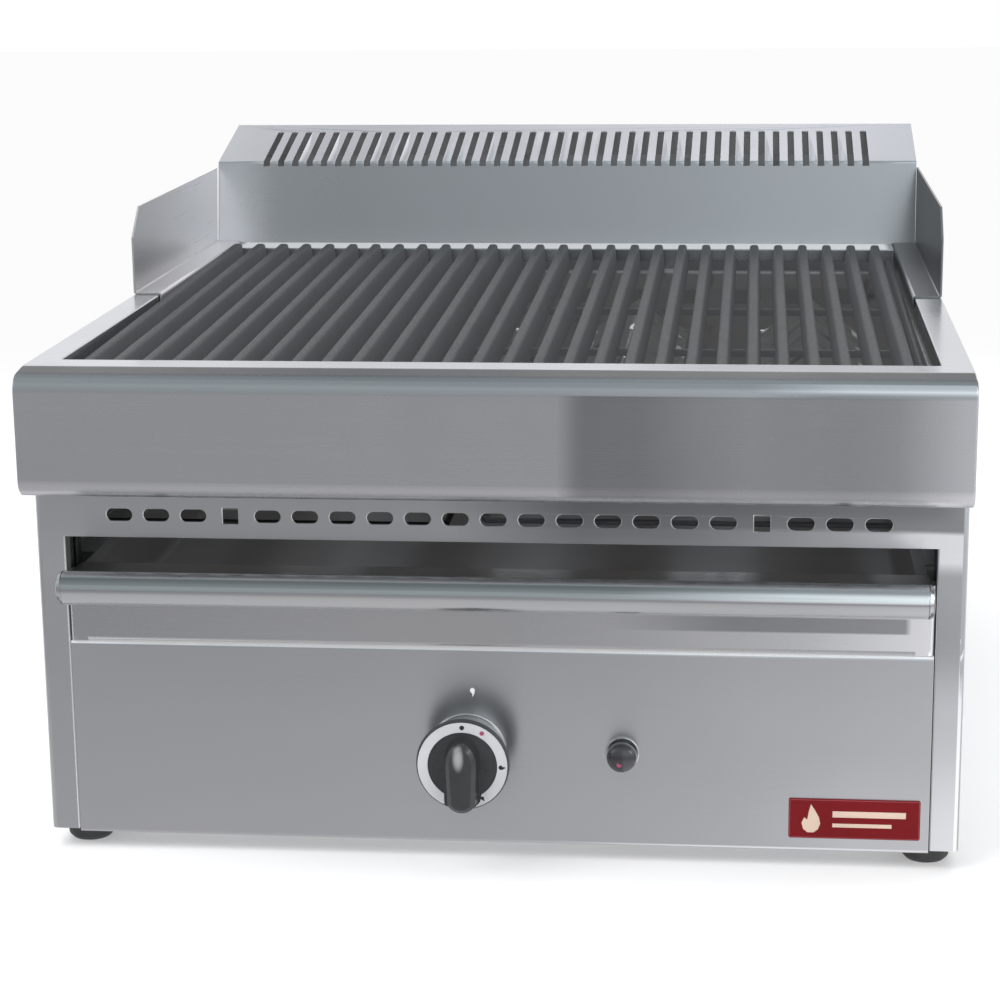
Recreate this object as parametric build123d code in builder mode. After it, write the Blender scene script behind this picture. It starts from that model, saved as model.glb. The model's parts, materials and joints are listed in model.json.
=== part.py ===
from build123d import *
import os
from math import atan2, cos, radians, sin

# Countertop gas charbroiler with cast-iron grates, a lift-over water drawer and a
# slotted rear flue.  Millimetres, +Z up, +X to the operator's right, operator at -Y.
# Origin: centre of the overall footprint, on the plane under the rubber feet.
# Dimensions below are given behind the apron face (y) and above the worktop rim (z);
# the plane helpers turn them into the part frame.

os.makedirs("parts", exist_ok=True)

CUT = Mode.SUBTRACT
SIDES = ((-1, "left"), (1, "right"))

# ---------------------------------------------------------------- driving sizes
WIDTH = 600.0            # casing and worktop width
HALF = WIDTH / 2
DEPTH = 720.0            # apron face to rear panel
APRON_H = 82.0           # front apron height
BODY_BOTTOM = 317.0      # worktop rim down to the underside of the casing
FOOT_H = 14.0            # rubber foot height
SHEET = 1.5              # casing sheet thickness
MID = SHEET / 2          # sheet face to sheet centre line
FRONT_Y = -367.0         # apron face in the part frame
TOP_Z = BODY_BOTTOM + FOOT_H   # worktop rim in the part frame

RIM_SIDE = 19.5          # side rim width
RIM_FRONT = 46.5         # apron face to the grate opening
OPEN_REAR = 580.0        # apron face to the rear edge of the grate opening
OPEN_X = HALF - RIM_SIDE # half width of the grate opening
BULL_TOP_R = 11.5        # nose radius at the top of the apron
BULL_DROP = 3.2          # fall of the front rim towards the nose
BULL_RUN = 24.0          # depth over which the front rim falls
BULL_LOW_R = 12.0        # radius at the bottom of the apron

SPLASH_Y = 613.0         # apron face to the splash-back
FOLD_H = 68.3            # splash-back height
SPLASH_LEAN = 13.0       # backward lean of the splash-back over its height
FOLD_Y = SPLASH_Y + SPLASH_LEAN
HOOD_HALF = 298.5        # half width of the hood
HOOD_H = 92.5            # flue deck height at the rear
SLOT_N = 42              # flue slots
SLOT_PITCH = 12.5
SLOT_W = 5.6
SLOT_RUN = 86.0          # rear end of the slots, behind the splash-back
SLOT_LEAD = 10.0         # start of the slots ahead of the splash-back

GUARD_Y = 317.5          # front edge of the splash guards
GUARD_H = 64.0
GUARD_KINK_H = 43.0      # foot of the chamfered front corner
GUARD_CHAMFER = 23.0

BODY_Y = 35.0            # casing front plane
STILE_W = 18.5           # front stile width
STILE_X = HALF - STILE_W # inner edge of the front stiles
RETURN_Y = BODY_Y + 13   # rear edge of the returns round the drawer opening
OPEN_TOP = 115.0         # drawer opening top, below the rim
PANEL_TOP = 186.0        # control panel top, below the rim
PANEL_HALF = STILE_X - 0.9
PANEL_BOTTOM = -BODY_BOTTOM - 2.3   # the panel hangs a little below the stiles

RAIL_SLOT_N = 21         # air openings in the front rail
RAIL_SLOT_PITCH = 24.4
RAIL_SLOT_L = 17.2
RAIL_SLOT_H = 8.1
RAIL_SQUARE = 10.4
RAIL_SLOT_Z = -100.0

BAR_N = 28               # cast grate bars over three sections
BAR_PITCH = 19.84
BAR_X0 = -272.9          # first bar, the sections sit against the left edge
BAR_TOP = 7.4
BAR_BASE = 10.8
BAR_H = 20.0
GRATE_Y0 = 48.0
GRATE_Y1 = 578.5
GRATE_Z0 = -7.0          # bar tops at the front
GRATE_Z1 = 5.0           # bar tops at the rear

FIRE_X = 279.0           # half width inside the firebox
FIRE_BOTTOM = -108.0
BURNER_X = (-210.0, -70.0, 70.0, 210.0)
BURNER_R = 16.0
BURNER_Z = -85.0
RAIL_TOP = -103.0        # top of the burner rails, where the deflector feet stand

CONTROL_Z = -255.0       # knob and igniter axis height
KNOB_X = -18.5
KNOB_R = 30.4
KNOB_FRONT = 3.6
KNOB_BACK = 28.6
HUB_R = 21.0
IGNITER_X = 82.5

MANIFOLD_Y = 60.0
VALVE_Y = 44.0
OUTLET_Y = 62.0          # valve outlet to the manifold
INLET_Y = 66.0           # valve inlet
PILOT_OUT_X = KNOB_X - 6 # valve outlet to the pilot
PILOT_OUT_Y = 75.0
INLET_X = 230.0          # gas inlet in the rear panel
INLET_Z = -292.0
PILOT_Y = 114.0          # pilot, thermocouple and electrode stand in one row
PILOT_X = -36.0
COUPLE_X = -24.0
SPARK_X = -12.0

HANDLE_R = 11.0
HANDLE_Y = 3.0
HANDLE_Z = -140.5
POST_X = (-225.0, 225.0)
POST_Z = -146.5
DRAWER_HALF = 277.5      # half width of the tray rim and handle
FASCIA_HALF = 280.6      # half width of the drawer fascia
FASCIA_TOP = -140.1      # centre line of the top return
FASCIA_LOW = -184.55     # centre line of the bottom return

TRAY_W = 542.0
TRAY_Y0 = 56.0
TRAY_Y1 = 562.0
TRAY_LEN = TRAY_Y1 - TRAY_Y0
TRAY_TOP = -140.9
TRAY_BOTTOM = -182.0
TRAY_SHEET = 1.2

FOOT_R = 17.0
FOOT_SPOTS = [(x, y) for x in (-280.5, 280.5) for y in (63.0, 665.0)]
REAR_SCREW_SPOTS = [(x, z) for x in (-285, 285) for z in (-110, -200, -290)]


# ---------------------------------------------------------------- frame and planes
def part_y(y):
    """Part-frame Y of a distance behind the apron face."""
    return y + FRONT_Y


def part_z(z):
    """Part-frame Z of a height above the worktop rim."""
    return z + TOP_Z


def front_plane(y, x=0.0, z=0.0):
    """Plane facing the operator, local axes +X and +Z."""
    return Plane(origin=(x, part_y(y), part_z(z)), x_dir=(1, 0, 0), z_dir=(0, -1, 0))


def rear_plane(y, x, z):
    """Plane facing rearwards, local axes +X and -Z."""
    return Plane(origin=(x, part_y(y), part_z(z)), x_dir=(1, 0, 0), z_dir=(0, 1, 0))


def side_plane(x, y=0.0, z=0.0):
    """Plane facing right, local axes +Y and +Z."""
    return Plane(origin=(x, part_y(y), part_z(z)), x_dir=(0, 1, 0), z_dir=(1, 0, 0))


def level_plane(z, x=0.0, y=0.0):
    """Plane facing up, local axes +X and +Y."""
    return Plane(origin=(x, part_y(y), part_z(z)), x_dir=(1, 0, 0), z_dir=(0, 0, 1))


# ---------------------------------------------------------------- shape helpers
# Sketches made in a helper do not join the caller's part, so each is passed on by hand.
def block(x0, x1, y0, y1, z0, z1, mode=Mode.ADD, radius=0.0):
    """Rectangular bar with an optional plan radius."""
    with BuildSketch(level_plane(z0)) as plan:
        with Locations(((x0 + x1) / 2, (y0 + y1) / 2)):
            if radius > 0:
                RectangleRounded(x1 - x0, y1 - y0, radius)
            else:
                Rectangle(x1 - x0, y1 - y0)
    extrude(plan.sketch, amount=z1 - z0, mode=mode)


def side_block(side, x0, x1, *box, mode=Mode.ADD):
    """Block on the left (-1) or right (1), x measured outwards from the middle."""
    block(*sorted((side * x0, side * x1)), *box, mode=mode)


def profile(plane, points, rounds=()):
    """Filled outline of local points; rounds are (point index, radius)."""
    with BuildSketch(plane) as outline:
        with BuildLine():
            Polyline(*points, close=True)
        make_face()
        for index, radius in rounds:
            corner = (*points[index], 0)
            fillet(outline.vertices().sort_by_distance(corner)[0], radius=radius)
    return outline.sketch


def prism_x(points, x0, x1, rounds=(), mode=Mode.ADD):
    """Side profile of (y, z) points extruded across X."""
    extrude(profile(side_plane(x0), points, rounds), amount=x1 - x0, mode=mode)


def turn(plane, points, direction, rounds=()):
    """Half profile revolved about an axis through the plane's origin."""
    revolve(profile(plane, points, rounds), axis=Axis(plane.origin, direction))


def fold(plane, points, length, bend, thickness):
    """Folded sheet: centre line of local points, extruded off the plane."""
    with BuildSketch(plane) as section:
        with BuildLine():
            FilletPolyline(*points, radius=bend)
        trace(line_width=thickness)
    extrude(section.sketch, amount=length)


def fold_x(points, x0, x1, bend=2.0, thickness=SHEET):
    """Folded sheet with a (y, z) centre line."""
    fold(side_plane(x0), points, x1 - x0, bend, thickness)


def fold_y(points, y0, y1, bend=2.0, thickness=SHEET):
    """Folded sheet with an (x, z) centre line."""
    fold(front_plane(y1), points, y1 - y0, bend, thickness)


def fold_z(points, z0, z1, bend):
    """Folded sheet with an (x, y) centre line."""
    fold(level_plane(z0), points, z1 - z0, bend, SHEET)


def rod(plane, length, radius, mode):
    """Round bar off a plane."""
    with BuildSketch(plane) as section:
        Circle(radius)
    extrude(section.sketch, amount=length, mode=mode)


def rod_x(y, z, x0, x1, radius, mode=Mode.ADD):
    rod(side_plane(x0, y, z), x1 - x0, radius, mode)


def rod_y(x, z, y0, y1, radius, mode=Mode.ADD):
    rod(front_plane(y1, x, z), y1 - y0, radius, mode)


def rod_z(x, y, z0, z1, radius, mode=Mode.ADD):
    rod(level_plane(z0, x, y), z1 - z0, radius, mode)


def hexagon_y(x, z, y0, y1, flat_radius, bore=0.0):
    """Hexagon along Y with an optional bore."""
    with BuildSketch(front_plane(y1, x, z)) as section:
        RegularPolygon(flat_radius, 6, major_radius=False)
        if bore > 0:
            Circle(bore, mode=CUT)
    extrude(section.sketch, amount=y1 - y0)


def pipe(points, radius, bend, bore=0.0):
    """Bent round tube or wire through (x, y, z) points."""
    with BuildLine() as path:
        FilletPolyline(*[(x, part_y(y), part_z(z)) for x, y, z in points], radius=bend)
    with BuildSketch(Plane(origin=path.line @ 0, z_dir=path.line % 0)) as section:
        Circle(radius)
        if bore > 0:
            Circle(bore, mode=CUT)
    sweep(section.sketch, path=path.line)


def save(builder, name):
    """Label a finished piece and write its STEP file."""
    builder.part.label = name
    export_step(builder.part, "parts/" + name + ".step")


# ================================================================ worktop and hood
def top_frame():
    """Pressed worktop: skirt, bullnose apron and the grate opening."""
    skirt_low = -APRON_H + SHEET
    flange_low = 18.0
    opening_mid = (RIM_FRONT + OPEN_REAR) / 2
    opening_len = OPEN_REAR - RIM_FRONT
    with BuildPart() as frame:
        prism_x([(0, -APRON_H), (0, -BULL_DROP), (BULL_RUN, 0), (DEPTH, 0), (DEPTH, -APRON_H)],
                -HALF, HALF, rounds=((0, BULL_LOW_R), (1, BULL_TOP_R), (2, 40.0)))
        # long top edges over the side rims are slightly eased
        fillet(frame.edges().filter_by(Axis.Y).group_by(Axis.Z)[-1], radius=1.2)
        # hollow, open below behind the apron overhang
        prism_x([(SHEET, skirt_low), (SHEET, -BULL_DROP - SHEET * 0.88), (BULL_RUN, -SHEET),
                 (DEPTH - SHEET, -SHEET), (DEPTH - SHEET, skirt_low)],
                -HALF + SHEET, HALF - SHEET,
                rounds=((0, BULL_LOW_R - SHEET), (1, BULL_TOP_R - SHEET), (2, 38.0)), mode=CUT)
        block(-HALF + SHEET, HALF - SHEET, BODY_Y + 2 * SHEET, DEPTH - SHEET,
              -APRON_H - 1, skirt_low + 1, mode=CUT)
        # grate opening, rear flue opening
        block(-OPEN_X, OPEN_X, RIM_FRONT, OPEN_REAR, -SHEET - 1, 2, mode=CUT, radius=3.0)
        block(-288, 288, SPLASH_Y + 5, DEPTH - 7, -SHEET - 1, 2, mode=CUT, radius=3.0)
        # turned-down flange round the grate opening
        with BuildSketch(level_plane(-flange_low)) as flange:
            with Locations((0, opening_mid)):
                RectangleRounded(2 * OPEN_X + 2 * SHEET, opening_len + 2 * SHEET, 3.0 + SHEET)
                RectangleRounded(2 * OPEN_X, opening_len, 3.0, mode=CUT)
        extrude(flange.sketch, amount=flange_low - 0.6)
        # eased inner rim edge
        inner = [e for e in frame.edges().group_by(Axis.Z)[-1]
                 if abs(e.center().X) < OPEN_X + 0.5
                 and part_y(RIM_FRONT) - 0.5 < e.center().Y < part_y(OPEN_REAR) + 0.5]
        fillet(inner, radius=1.0)
    save(frame, "top_frame")


def flue_hood():
    """Rear hood: splash-back, fold, sloping slotted deck, rear face, closed ends."""
    with BuildPart() as hood:
        prism_x([(SPLASH_Y, 0), (FOLD_Y, FOLD_H), (DEPTH, HOOD_H), (DEPTH, 0)],
                -HOOD_HALF, HOOD_HALF, rounds=((1, 2.5), (2, 2.0)))
        prism_x([(SPLASH_Y + SHEET - 0.2, -1), (FOLD_Y + SHEET * 1.1, FOLD_H - SHEET * 1.3),
                 (DEPTH - SHEET, HOOD_H - SHEET * 1.4), (DEPTH - SHEET, -1)],
                -HOOD_HALF + SHEET, HOOD_HALF - SHEET, rounds=((1, 1.2), (2, 0.8)), mode=CUT)
        # foot flange of the splash-back on the worktop
        block(-HOOD_HALF + SHEET, HOOD_HALF - SHEET, SPLASH_Y + 0.4, SPLASH_Y + 4.6, 0, SHEET)
        # slots wrap over the fold
        with BuildSketch(level_plane(FOLD_H - 4.0)) as slots:
            with Locations((0, SPLASH_Y - SLOT_LEAD + (SLOT_RUN + SLOT_LEAD) / 2)):
                with GridLocations(SLOT_PITCH, 1, SLOT_N, 1):
                    SlotOverall(SLOT_RUN + SLOT_LEAD + SLOT_W / 2, SLOT_W, rotation=90)
        extrude(slots.sketch, amount=40, mode=CUT)
    save(hood, "flue_hood")


def flue_baffle():
    """Sloping folded sheet inside the hood."""
    front, rear = SPLASH_Y + 9, DEPTH - 12
    with BuildPart() as baffle:
        fold_x([(front, 2.0), (front, 14.0), (rear, 50.0), (rear, 66.0)], -286, 286, bend=3.0)
    save(baffle, "flue_baffle")


def splash_guard(side, name):
    """Upright plate, foot flange on the rim, small lip into the opening."""
    outer_x = side * (HALF - 0.2 - MID)
    inner_x = side * (OPEN_X - 1.3)
    flange_z = 0.1 + MID
    across = sorted((-side, side * (HALF + 1)))
    chamfer_y = GUARD_Y + GUARD_CHAMFER
    with BuildPart() as guard:
        fold_y([(outer_x, GUARD_H), (outer_x, flange_z), (inner_x, flange_z), (inner_x, -7.5)],
               GUARD_Y, FOLD_Y, bend=1.6)
        # rear edge follows the lean of the splash-back across a narrow seam
        prism_x([(SPLASH_Y - 3.0, -10.0), (SPLASH_Y - 3.0, 0.0), (FOLD_Y - 6.0, FOLD_H),
                 (SPLASH_Y + 40.0, FOLD_H + 2), (SPLASH_Y + 40.0, -10.0)], *across, mode=CUT)
        # the lip stops at the rear edge of the grate opening
        side_block(side, 275, 284, OPEN_REAR - 3.5, SPLASH_Y, -9.0, 0.05, mode=CUT)
        # chamfered front upper corner
        prism_x([(GUARD_Y - 1, GUARD_KINK_H), (GUARD_Y, GUARD_KINK_H), (chamfer_y, GUARD_H),
                 (chamfer_y, GUARD_H + 2), (GUARD_Y - 1, GUARD_H + 2)], *across, mode=CUT)
    save(guard, name + "_splash_guard")


# ================================================================ casing
def front_frame():
    """Wrapped channel with the two stiles, the slotted rail and its returns."""
    wall_x, wall_y = HALF - MID, BODY_Y + MID
    with BuildPart() as frame:
        fold_z([(-wall_x, 57.0), (-wall_x, wall_y), (wall_x, wall_y), (wall_x, 57.0)],
               -BODY_BOTTOM, -APRON_H, bend=2.6)
        block(-STILE_X, STILE_X, BODY_Y - 2, BODY_Y + 3, -BODY_BOTTOM - 1, -OPEN_TOP, mode=CUT)
        # returns around the drawer opening
        for side, _ in SIDES:
            side_block(side, STILE_X, STILE_X + SHEET, BODY_Y + 0.4, RETURN_Y,
                       -BODY_BOTTOM, -OPEN_TOP)
        block(-STILE_X - SHEET, STILE_X + SHEET, BODY_Y + 0.4, RETURN_Y,
              -OPEN_TOP, -OPEN_TOP + SHEET)
        # air openings: square at the fourth place from each end, obround elsewhere
        with BuildSketch(front_plane(BODY_Y - 1, z=RAIL_SLOT_Z)) as vents:
            for i in range(RAIL_SLOT_N):
                with Locations(((i - (RAIL_SLOT_N - 1) / 2) * RAIL_SLOT_PITCH, 0)):
                    if i in (3, RAIL_SLOT_N - 4):
                        Rectangle(RAIL_SQUARE, RAIL_SQUARE)
                    else:
                        SlotOverall(RAIL_SLOT_L, RAIL_SLOT_H)
        extrude(vents.sketch, amount=-4, mode=CUT)
        vent_edges = [e for e in frame.edges()
                      if abs(e.center().Y - part_y(BODY_Y)) < 0.01
                      and abs(e.center().Z - part_z(RAIL_SLOT_Z)) < RAIL_SQUARE / 2 + 0.1
                      and abs(e.center().X) < 260]
        fillet(vent_edges, radius=0.4)
    save(frame, "front_frame")


def side_panel(side, name):
    """Flat sheet with inward returns at top and bottom."""
    wall_x = side * (HALF - MID)
    return_x = side * (HALF - 15)
    top, bottom = -APRON_H - MID, -BODY_BOTTOM + MID
    with BuildPart() as panel:
        fold_y([(return_x, top), (wall_x, top), (wall_x, bottom), (return_x, bottom)],
               57.6, DEPTH - SHEET - 0.2, bend=1.6)
        # top return is cut back near the front, clear of the pipes
        side_block(side, 280, 297.6, 50.0, 112.0, -APRON_H - 2.5, -APRON_H + 1, mode=CUT)
    save(panel, name + "_side_panel")


def rear_panel():
    """Sheet with two louvre fields, an inlet hole and folded upright returns."""
    edge_x = HALF - 3.0
    wall_y = DEPTH - MID
    with BuildPart() as panel:
        fold_z([(-edge_x, DEPTH - 14), (-edge_x, wall_y), (edge_x, wall_y),
                (edge_x, DEPTH - 14)],
               -BODY_BOTTOM + SHEET + 0.2, -APRON_H - SHEET - 0.2, bend=1.6)
        with BuildSketch(front_plane(DEPTH + 1, z=-180)) as louvres:
            for x in (-130, 130):
                with Locations((x, 0)):
                    with GridLocations(1, 14, 1, 9):
                        SlotOverall(150, 5)
        extrude(louvres.sketch, amount=4, mode=CUT)
        rod_y(INLET_X, INLET_Z, DEPTH - 4, DEPTH + 1, 12.5, mode=CUT)
        for x, z in REAR_SCREW_SPOTS:
            rod_y(x, z, DEPTH - 4, DEPTH + 1, 2.1, mode=CUT)
    save(panel, "rear_panel")


def base_panel():
    """Floor pan: front and rear edges turned up, air slots, foot screw holes."""
    front, rear = BODY_Y + 16, DEPTH - 17
    floor = -BODY_BOTTOM + SHEET * 1.5 + 0.1
    with BuildPart() as panel:
        fold_x([(front, -BODY_BOTTOM + 14), (front, floor),
                (rear, floor), (rear, -BODY_BOTTOM + 8.5)],
               -HALF + 2.2, HALF - 2.2, bend=1.6)
        with BuildSketch(level_plane(-BODY_BOTTOM - 1)) as openings:
            with Locations((0, 380)):
                with GridLocations(70, 120, 7, 3):
                    SlotOverall(50, 8)
            for spot in FOOT_SPOTS:
                with Locations(spot):
                    Circle(3.3)
        extrude(openings.sketch, amount=8, mode=CUT)
    save(panel, "base_panel")


def control_panel():
    """Front panel with top, bottom and side returns and two control holes."""
    wall_y = BODY_Y + MID
    top, bottom = -PANEL_TOP - MID, PANEL_BOTTOM + MID
    with BuildPart() as panel:
        fold_x([(BODY_Y + 16, top), (wall_y, top), (wall_y, bottom), (BODY_Y + 8.5, bottom)],
               -PANEL_HALF, PANEL_HALF, bend=1.6)
        for side, _ in SIDES:
            side_block(side, PANEL_HALF - SHEET, PANEL_HALF, BODY_Y + 1, BODY_Y + 8.4,
                       PANEL_BOTTOM + 0.8, -PANEL_TOP - 1.0)
        for x, radius in ((KNOB_X, 13.0), (IGNITER_X, 9.2)):
            rod_y(x, CONTROL_Z, BODY_Y - 2, BODY_Y + 4, radius, mode=CUT)
    save(panel, "control_panel")


def drawer_shelf():
    """Shelf that divides the drawer bay from the gas compartment."""
    front, rear = BODY_Y + 17, 700
    top, low = -PANEL_TOP - 3.2, -PANEL_TOP - 14
    with BuildPart() as shelf:
        fold_x([(front, low), (front, top), (rear, top), (rear, low)],
               -279.0, 279.0, thickness=1.2)
    save(shelf, "drawer_shelf")


def feet():
    """Tapered rubber bumpers with a screw well; profile is (radius, height)."""
    with BuildPart() as bumpers:
        for x, y in FOOT_SPOTS:
            turn(front_plane(y, x, -TOP_Z),
                 [(4.6, 0), (FOOT_R - 4.0, 0), (FOOT_R - 1.6, 2.6), (FOOT_R, FOOT_H),
                  (2.6, FOOT_H), (2.6, 6.0), (4.6, 6.0)], (0, 0, 1), rounds=((2, 2.0),))
    save(bumpers, "feet")


def foot_screws():
    """Screws up through the feet; profile is (radius, height)."""
    with BuildPart() as screws:
        for x, y in FOOT_SPOTS:
            turn(front_plane(y, x, -TOP_Z),
                 [(0, 2.6), (4.0, 2.6), (4.2, 3.4), (4.2, 5.9), (2.4, 5.9),
                  (2.4, FOOT_H + 6.0), (0, FOOT_H + 6.0)], (0, 0, 1))
    save(screws, "foot_screws")


def casing_screws():
    """Pan-head screws that hold the rear panel."""
    with BuildPart() as screws:
        for x, z in REAR_SCREW_SPOTS:
            with BuildSketch(rear_plane(DEPTH + 0.1, x, z)) as head:
                Circle(4.0)
            extrude(head.sketch, amount=2.2, taper=12)
            rod_y(x, z, DEPTH - 9, DEPTH + 0.6, 1.9)
    save(screws, "casing_screws")


def badge():
    """Plain name plate with rounded corners and an eased front edge."""
    with BuildPart() as plate:
        with BuildSketch(front_plane(BODY_Y - 0.05, 232.7, -296.4)) as outline:
            RectangleRounded(84.5, 27.0, 1.4)
        extrude(outline.sketch, amount=0.9)
        fillet(plate.faces().sort_by(Axis.Y)[0].edges(), radius=0.35)
    save(plate, "badge")


# ================================================================ firebox
def firebox():
    """Side walls, front wall stepped back over the manifold, rear wall with a foot."""
    step_high, step_low = -40.0, -66.0
    rear = OPEN_REAR - 1.0
    rear_mid = rear - MID
    low_mid = FIRE_BOTTOM + MID
    with BuildPart() as box:
        for side, _ in SIDES:
            across = sorted((side * FIRE_X, side * (FIRE_X + SHEET)))
            prism_x([(47.9, -18.6), (47.9, step_high), (84.0, step_low), (84.0, FIRE_BOTTOM),
                     (rear, FIRE_BOTTOM), (rear, -18.6)], *across)
        fold_x([(48.7, -29.5), (48.7, step_high), (84.75, step_low), (84.75, FIRE_BOTTOM)],
               -FIRE_X, FIRE_X, bend=3.0)
        fold_x([(rear_mid, -24.0), (rear_mid, low_mid), (OPEN_REAR + 12, low_mid)],
               -FIRE_X, FIRE_X)
        # burner mouths through the front wall, flue ports through the rear wall
        for x in BURNER_X:
            rod_y(x, BURNER_Z, 82.0, 88.0, 12.0, mode=CUT)
        with BuildSketch(front_plane(OPEN_REAR + 2, z=-40)) as ports:
            with GridLocations(44, 1, 12, 1):
                SlotOverall(32, 12)
        extrude(ports.sketch, amount=8, mode=CUT)
    save(box, "firebox")


def grate_top(y):
    """Height of the bar tops at a distance behind the apron face."""
    return GRATE_Z0 + (GRATE_Z1 - GRATE_Z0) * (y - GRATE_Y0) / (GRATE_Y1 - GRATE_Y0)


def grate_rest(name, grate_y, outer_y, outer_drop, inner_y, inner_drop):
    """Channel ledge that carries the grates, just under the bars at grate_y."""
    top = grate_top(grate_y) - BAR_H - 0.4
    with BuildPart() as rest:
        fold_x([(outer_y, top - outer_drop), (outer_y, top - MID),
                (inner_y, top - MID), (inner_y, top - inner_drop)],
               -FIRE_X + 0.4, FIRE_X - 0.4, bend=1.6)
    save(rest, name)


def deflector(x, name):
    """Folded roof over a burner, on four feet."""
    with BuildPart() as roof:
        fold_y([(x - 40, -63.5), (x - 33, -60.0), (x, -37.0), (x + 33, -60.0), (x + 40, -63.5)],
               88.0, 545.0, bend=3.0, thickness=1.2)
        for y in (92.0, 535.0):
            for side, _ in SIDES:
                foot_x = x + side * 36
                block(foot_x - 5, foot_x + 5, y, y + 6, RAIL_TOP, -61.6)
    save(roof, name)


def burner(x, name):
    """Capped tube with slotted ports both sides and a mixing tube at the front."""
    mixer_r = 11.0
    mouth_y, mixer_y = 88.0, 100.0
    with BuildPart() as tube:
        rod_y(x, BURNER_Z, 118.0, 536.0, BURNER_R)
        rod_y(x, BURNER_Z, mixer_y, 120.0, mixer_r)
        mouth = []
        for y in (mouth_y, mixer_y):
            with BuildSketch(rear_plane(y, x, BURNER_Z)) as section:
                Circle(mixer_r)
            mouth.append(section.sketch.face())
        loft(mouth)
        # bores of the mixing tube and the burner tube
        rod_y(x, BURNER_Z, mouth_y - 1.5, 124.0, 9.5, mode=CUT)
        rod_y(x, BURNER_Z, 122.0, 532.0, BURNER_R - 1.5, mode=CUT)
        with BuildSketch(side_plane(x - 20, 330.0, BURNER_Z + 7.0)) as ports:
            with GridLocations(16.0, 1, 24, 1):
                Rectangle(8.0, 1.6)
        extrude(ports.sketch, amount=40, mode=CUT)
        # window in the underside of the mixing tube
        block(x - 6, x + 6, 103.0, 112.0, BURNER_Z - 14, BURNER_Z - 5, mode=CUT)
    save(tube, name)


def burner_rail(y, name):
    """Cross rail with a cradle under each burner."""
    with BuildPart() as rail:
        fold_x([(y, -112.0), (y, RAIL_TOP - MID), (y + 14, RAIL_TOP - MID)],
               -FIRE_X + 0.4, FIRE_X - 0.4, bend=1.6)
        for x in BURNER_X:
            block(x - 12, x + 12, y + 1, y + 12, RAIL_TOP - 1, BURNER_Z - BURNER_R + 1.2)
            rod_y(x, BURNER_Z, y - 2, y + 14, BURNER_R + 0.05, mode=CUT)
    save(rail, name)


# ================================================================ gas train
def gas_manifold():
    """Cross tube with a boss behind for each injector."""
    with BuildPart() as manifold:
        rod_x(MANIFOLD_Y, BURNER_Z, -262.0, 262.0, 10.65)
        rod_x(MANIFOLD_Y, BURNER_Z, -258.0, 258.0, 8.6, mode=CUT)
        for x in BURNER_X:
            rod_y(x, BURNER_Z, MANIFOLD_Y + 8.0, MANIFOLD_Y + 13.0, 7.0)
            rod_y(x, BURNER_Z, MANIFOLD_Y + 4.0, MANIFOLD_Y + 14.0, 3.6, mode=CUT)
        # end bushing for the feed pipe, left side
        rod_x(MANIFOLD_Y, BURNER_Z, -266.0, -257.0, 8.0)
        rod_x(MANIFOLD_Y, BURNER_Z, -267.0, -256.0, 4.6, mode=CUT)
    save(manifold, "gas_manifold")


def injectors():
    """Hexagon jets with a tapered tip at the rear."""
    with BuildPart() as jets:
        for x in BURNER_X:
            hexagon_y(x, BURNER_Z, 73.0, 78.0, 5.5)
            rod_y(x, BURNER_Z, 66.0, 73.2, 3.55)
            with BuildSketch(rear_plane(78.0, x, BURNER_Z)) as tip:
                Circle(3.6)
            extrude(tip.sketch, amount=4.0, taper=20)
            rod_y(x, BURNER_Z, 65.0, 83.0, 0.9, mode=CUT)
    save(jets, "injectors")


def gas_valve():
    """Valve body: block, bonnet, rear head, outlet and inlet bosses, stepped bore."""
    with BuildPart() as valve:
        block(KNOB_X - 15, KNOB_X + 15, VALVE_Y + 4, VALVE_Y + 40,
              CONTROL_Z - 17, CONTROL_Z + 17)
        fillet(valve.edges().filter_by(Axis.Y), radius=4.0)
        rod_y(KNOB_X, CONTROL_Z, VALVE_Y - 5, VALVE_Y + 5, 11.5)
        rod_y(KNOB_X, CONTROL_Z, VALVE_Y + 39, VALVE_Y + 66, 9.5)
        # bosses: manifold outlet, gas inlet, pilot outlet
        rod_x(OUTLET_Y, CONTROL_Z, KNOB_X - 24, KNOB_X - 14, 8.0)
        rod_z(KNOB_X, INLET_Y, CONTROL_Z - 24, CONTROL_Z - 16, 9.5)
        rod_z(PILOT_OUT_X, PILOT_OUT_Y, CONTROL_Z + 16, CONTROL_Z + 21, 4.0)
        # spindle bore and push-rod bore
        rod_y(KNOB_X, CONTROL_Z, VALVE_Y - 6, 62.6, 4.06, mode=CUT)
        rod_y(KNOB_X, CONTROL_Z, 62.0, 104.0, 2.06, mode=CUT)
    save(valve, "gas_valve")


def manifold_feed_pipe():
    """Pipe from the valve up the left side to the manifold."""
    riser_x = -289.0
    with BuildPart() as feed:
        pipe([(KNOB_X - 24.2, OUTLET_Y, CONTROL_Z), (riser_x, OUTLET_Y, CONTROL_Z),
              (riser_x, MANIFOLD_Y, BURNER_Z), (-266.2, MANIFOLD_Y, BURNER_Z)],
             radius=6.0, bend=12.0, bore=4.8)
    save(feed, "manifold_feed_pipe")


def gas_inlet_pipe():
    """Pipe from the valve to the connector at the rear."""
    low_z = -297.0
    with BuildPart() as inlet:
        pipe([(KNOB_X, INLET_Y, CONTROL_Z - 24.2), (KNOB_X, INLET_Y, low_z),
              (INLET_X, INLET_Y, low_z), (INLET_X, 90.0, INLET_Z), (INLET_X, 699.8, INLET_Z)],
             radius=7.5, bend=9.0, bore=6.2)
    save(inlet, "gas_inlet_pipe")


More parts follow.
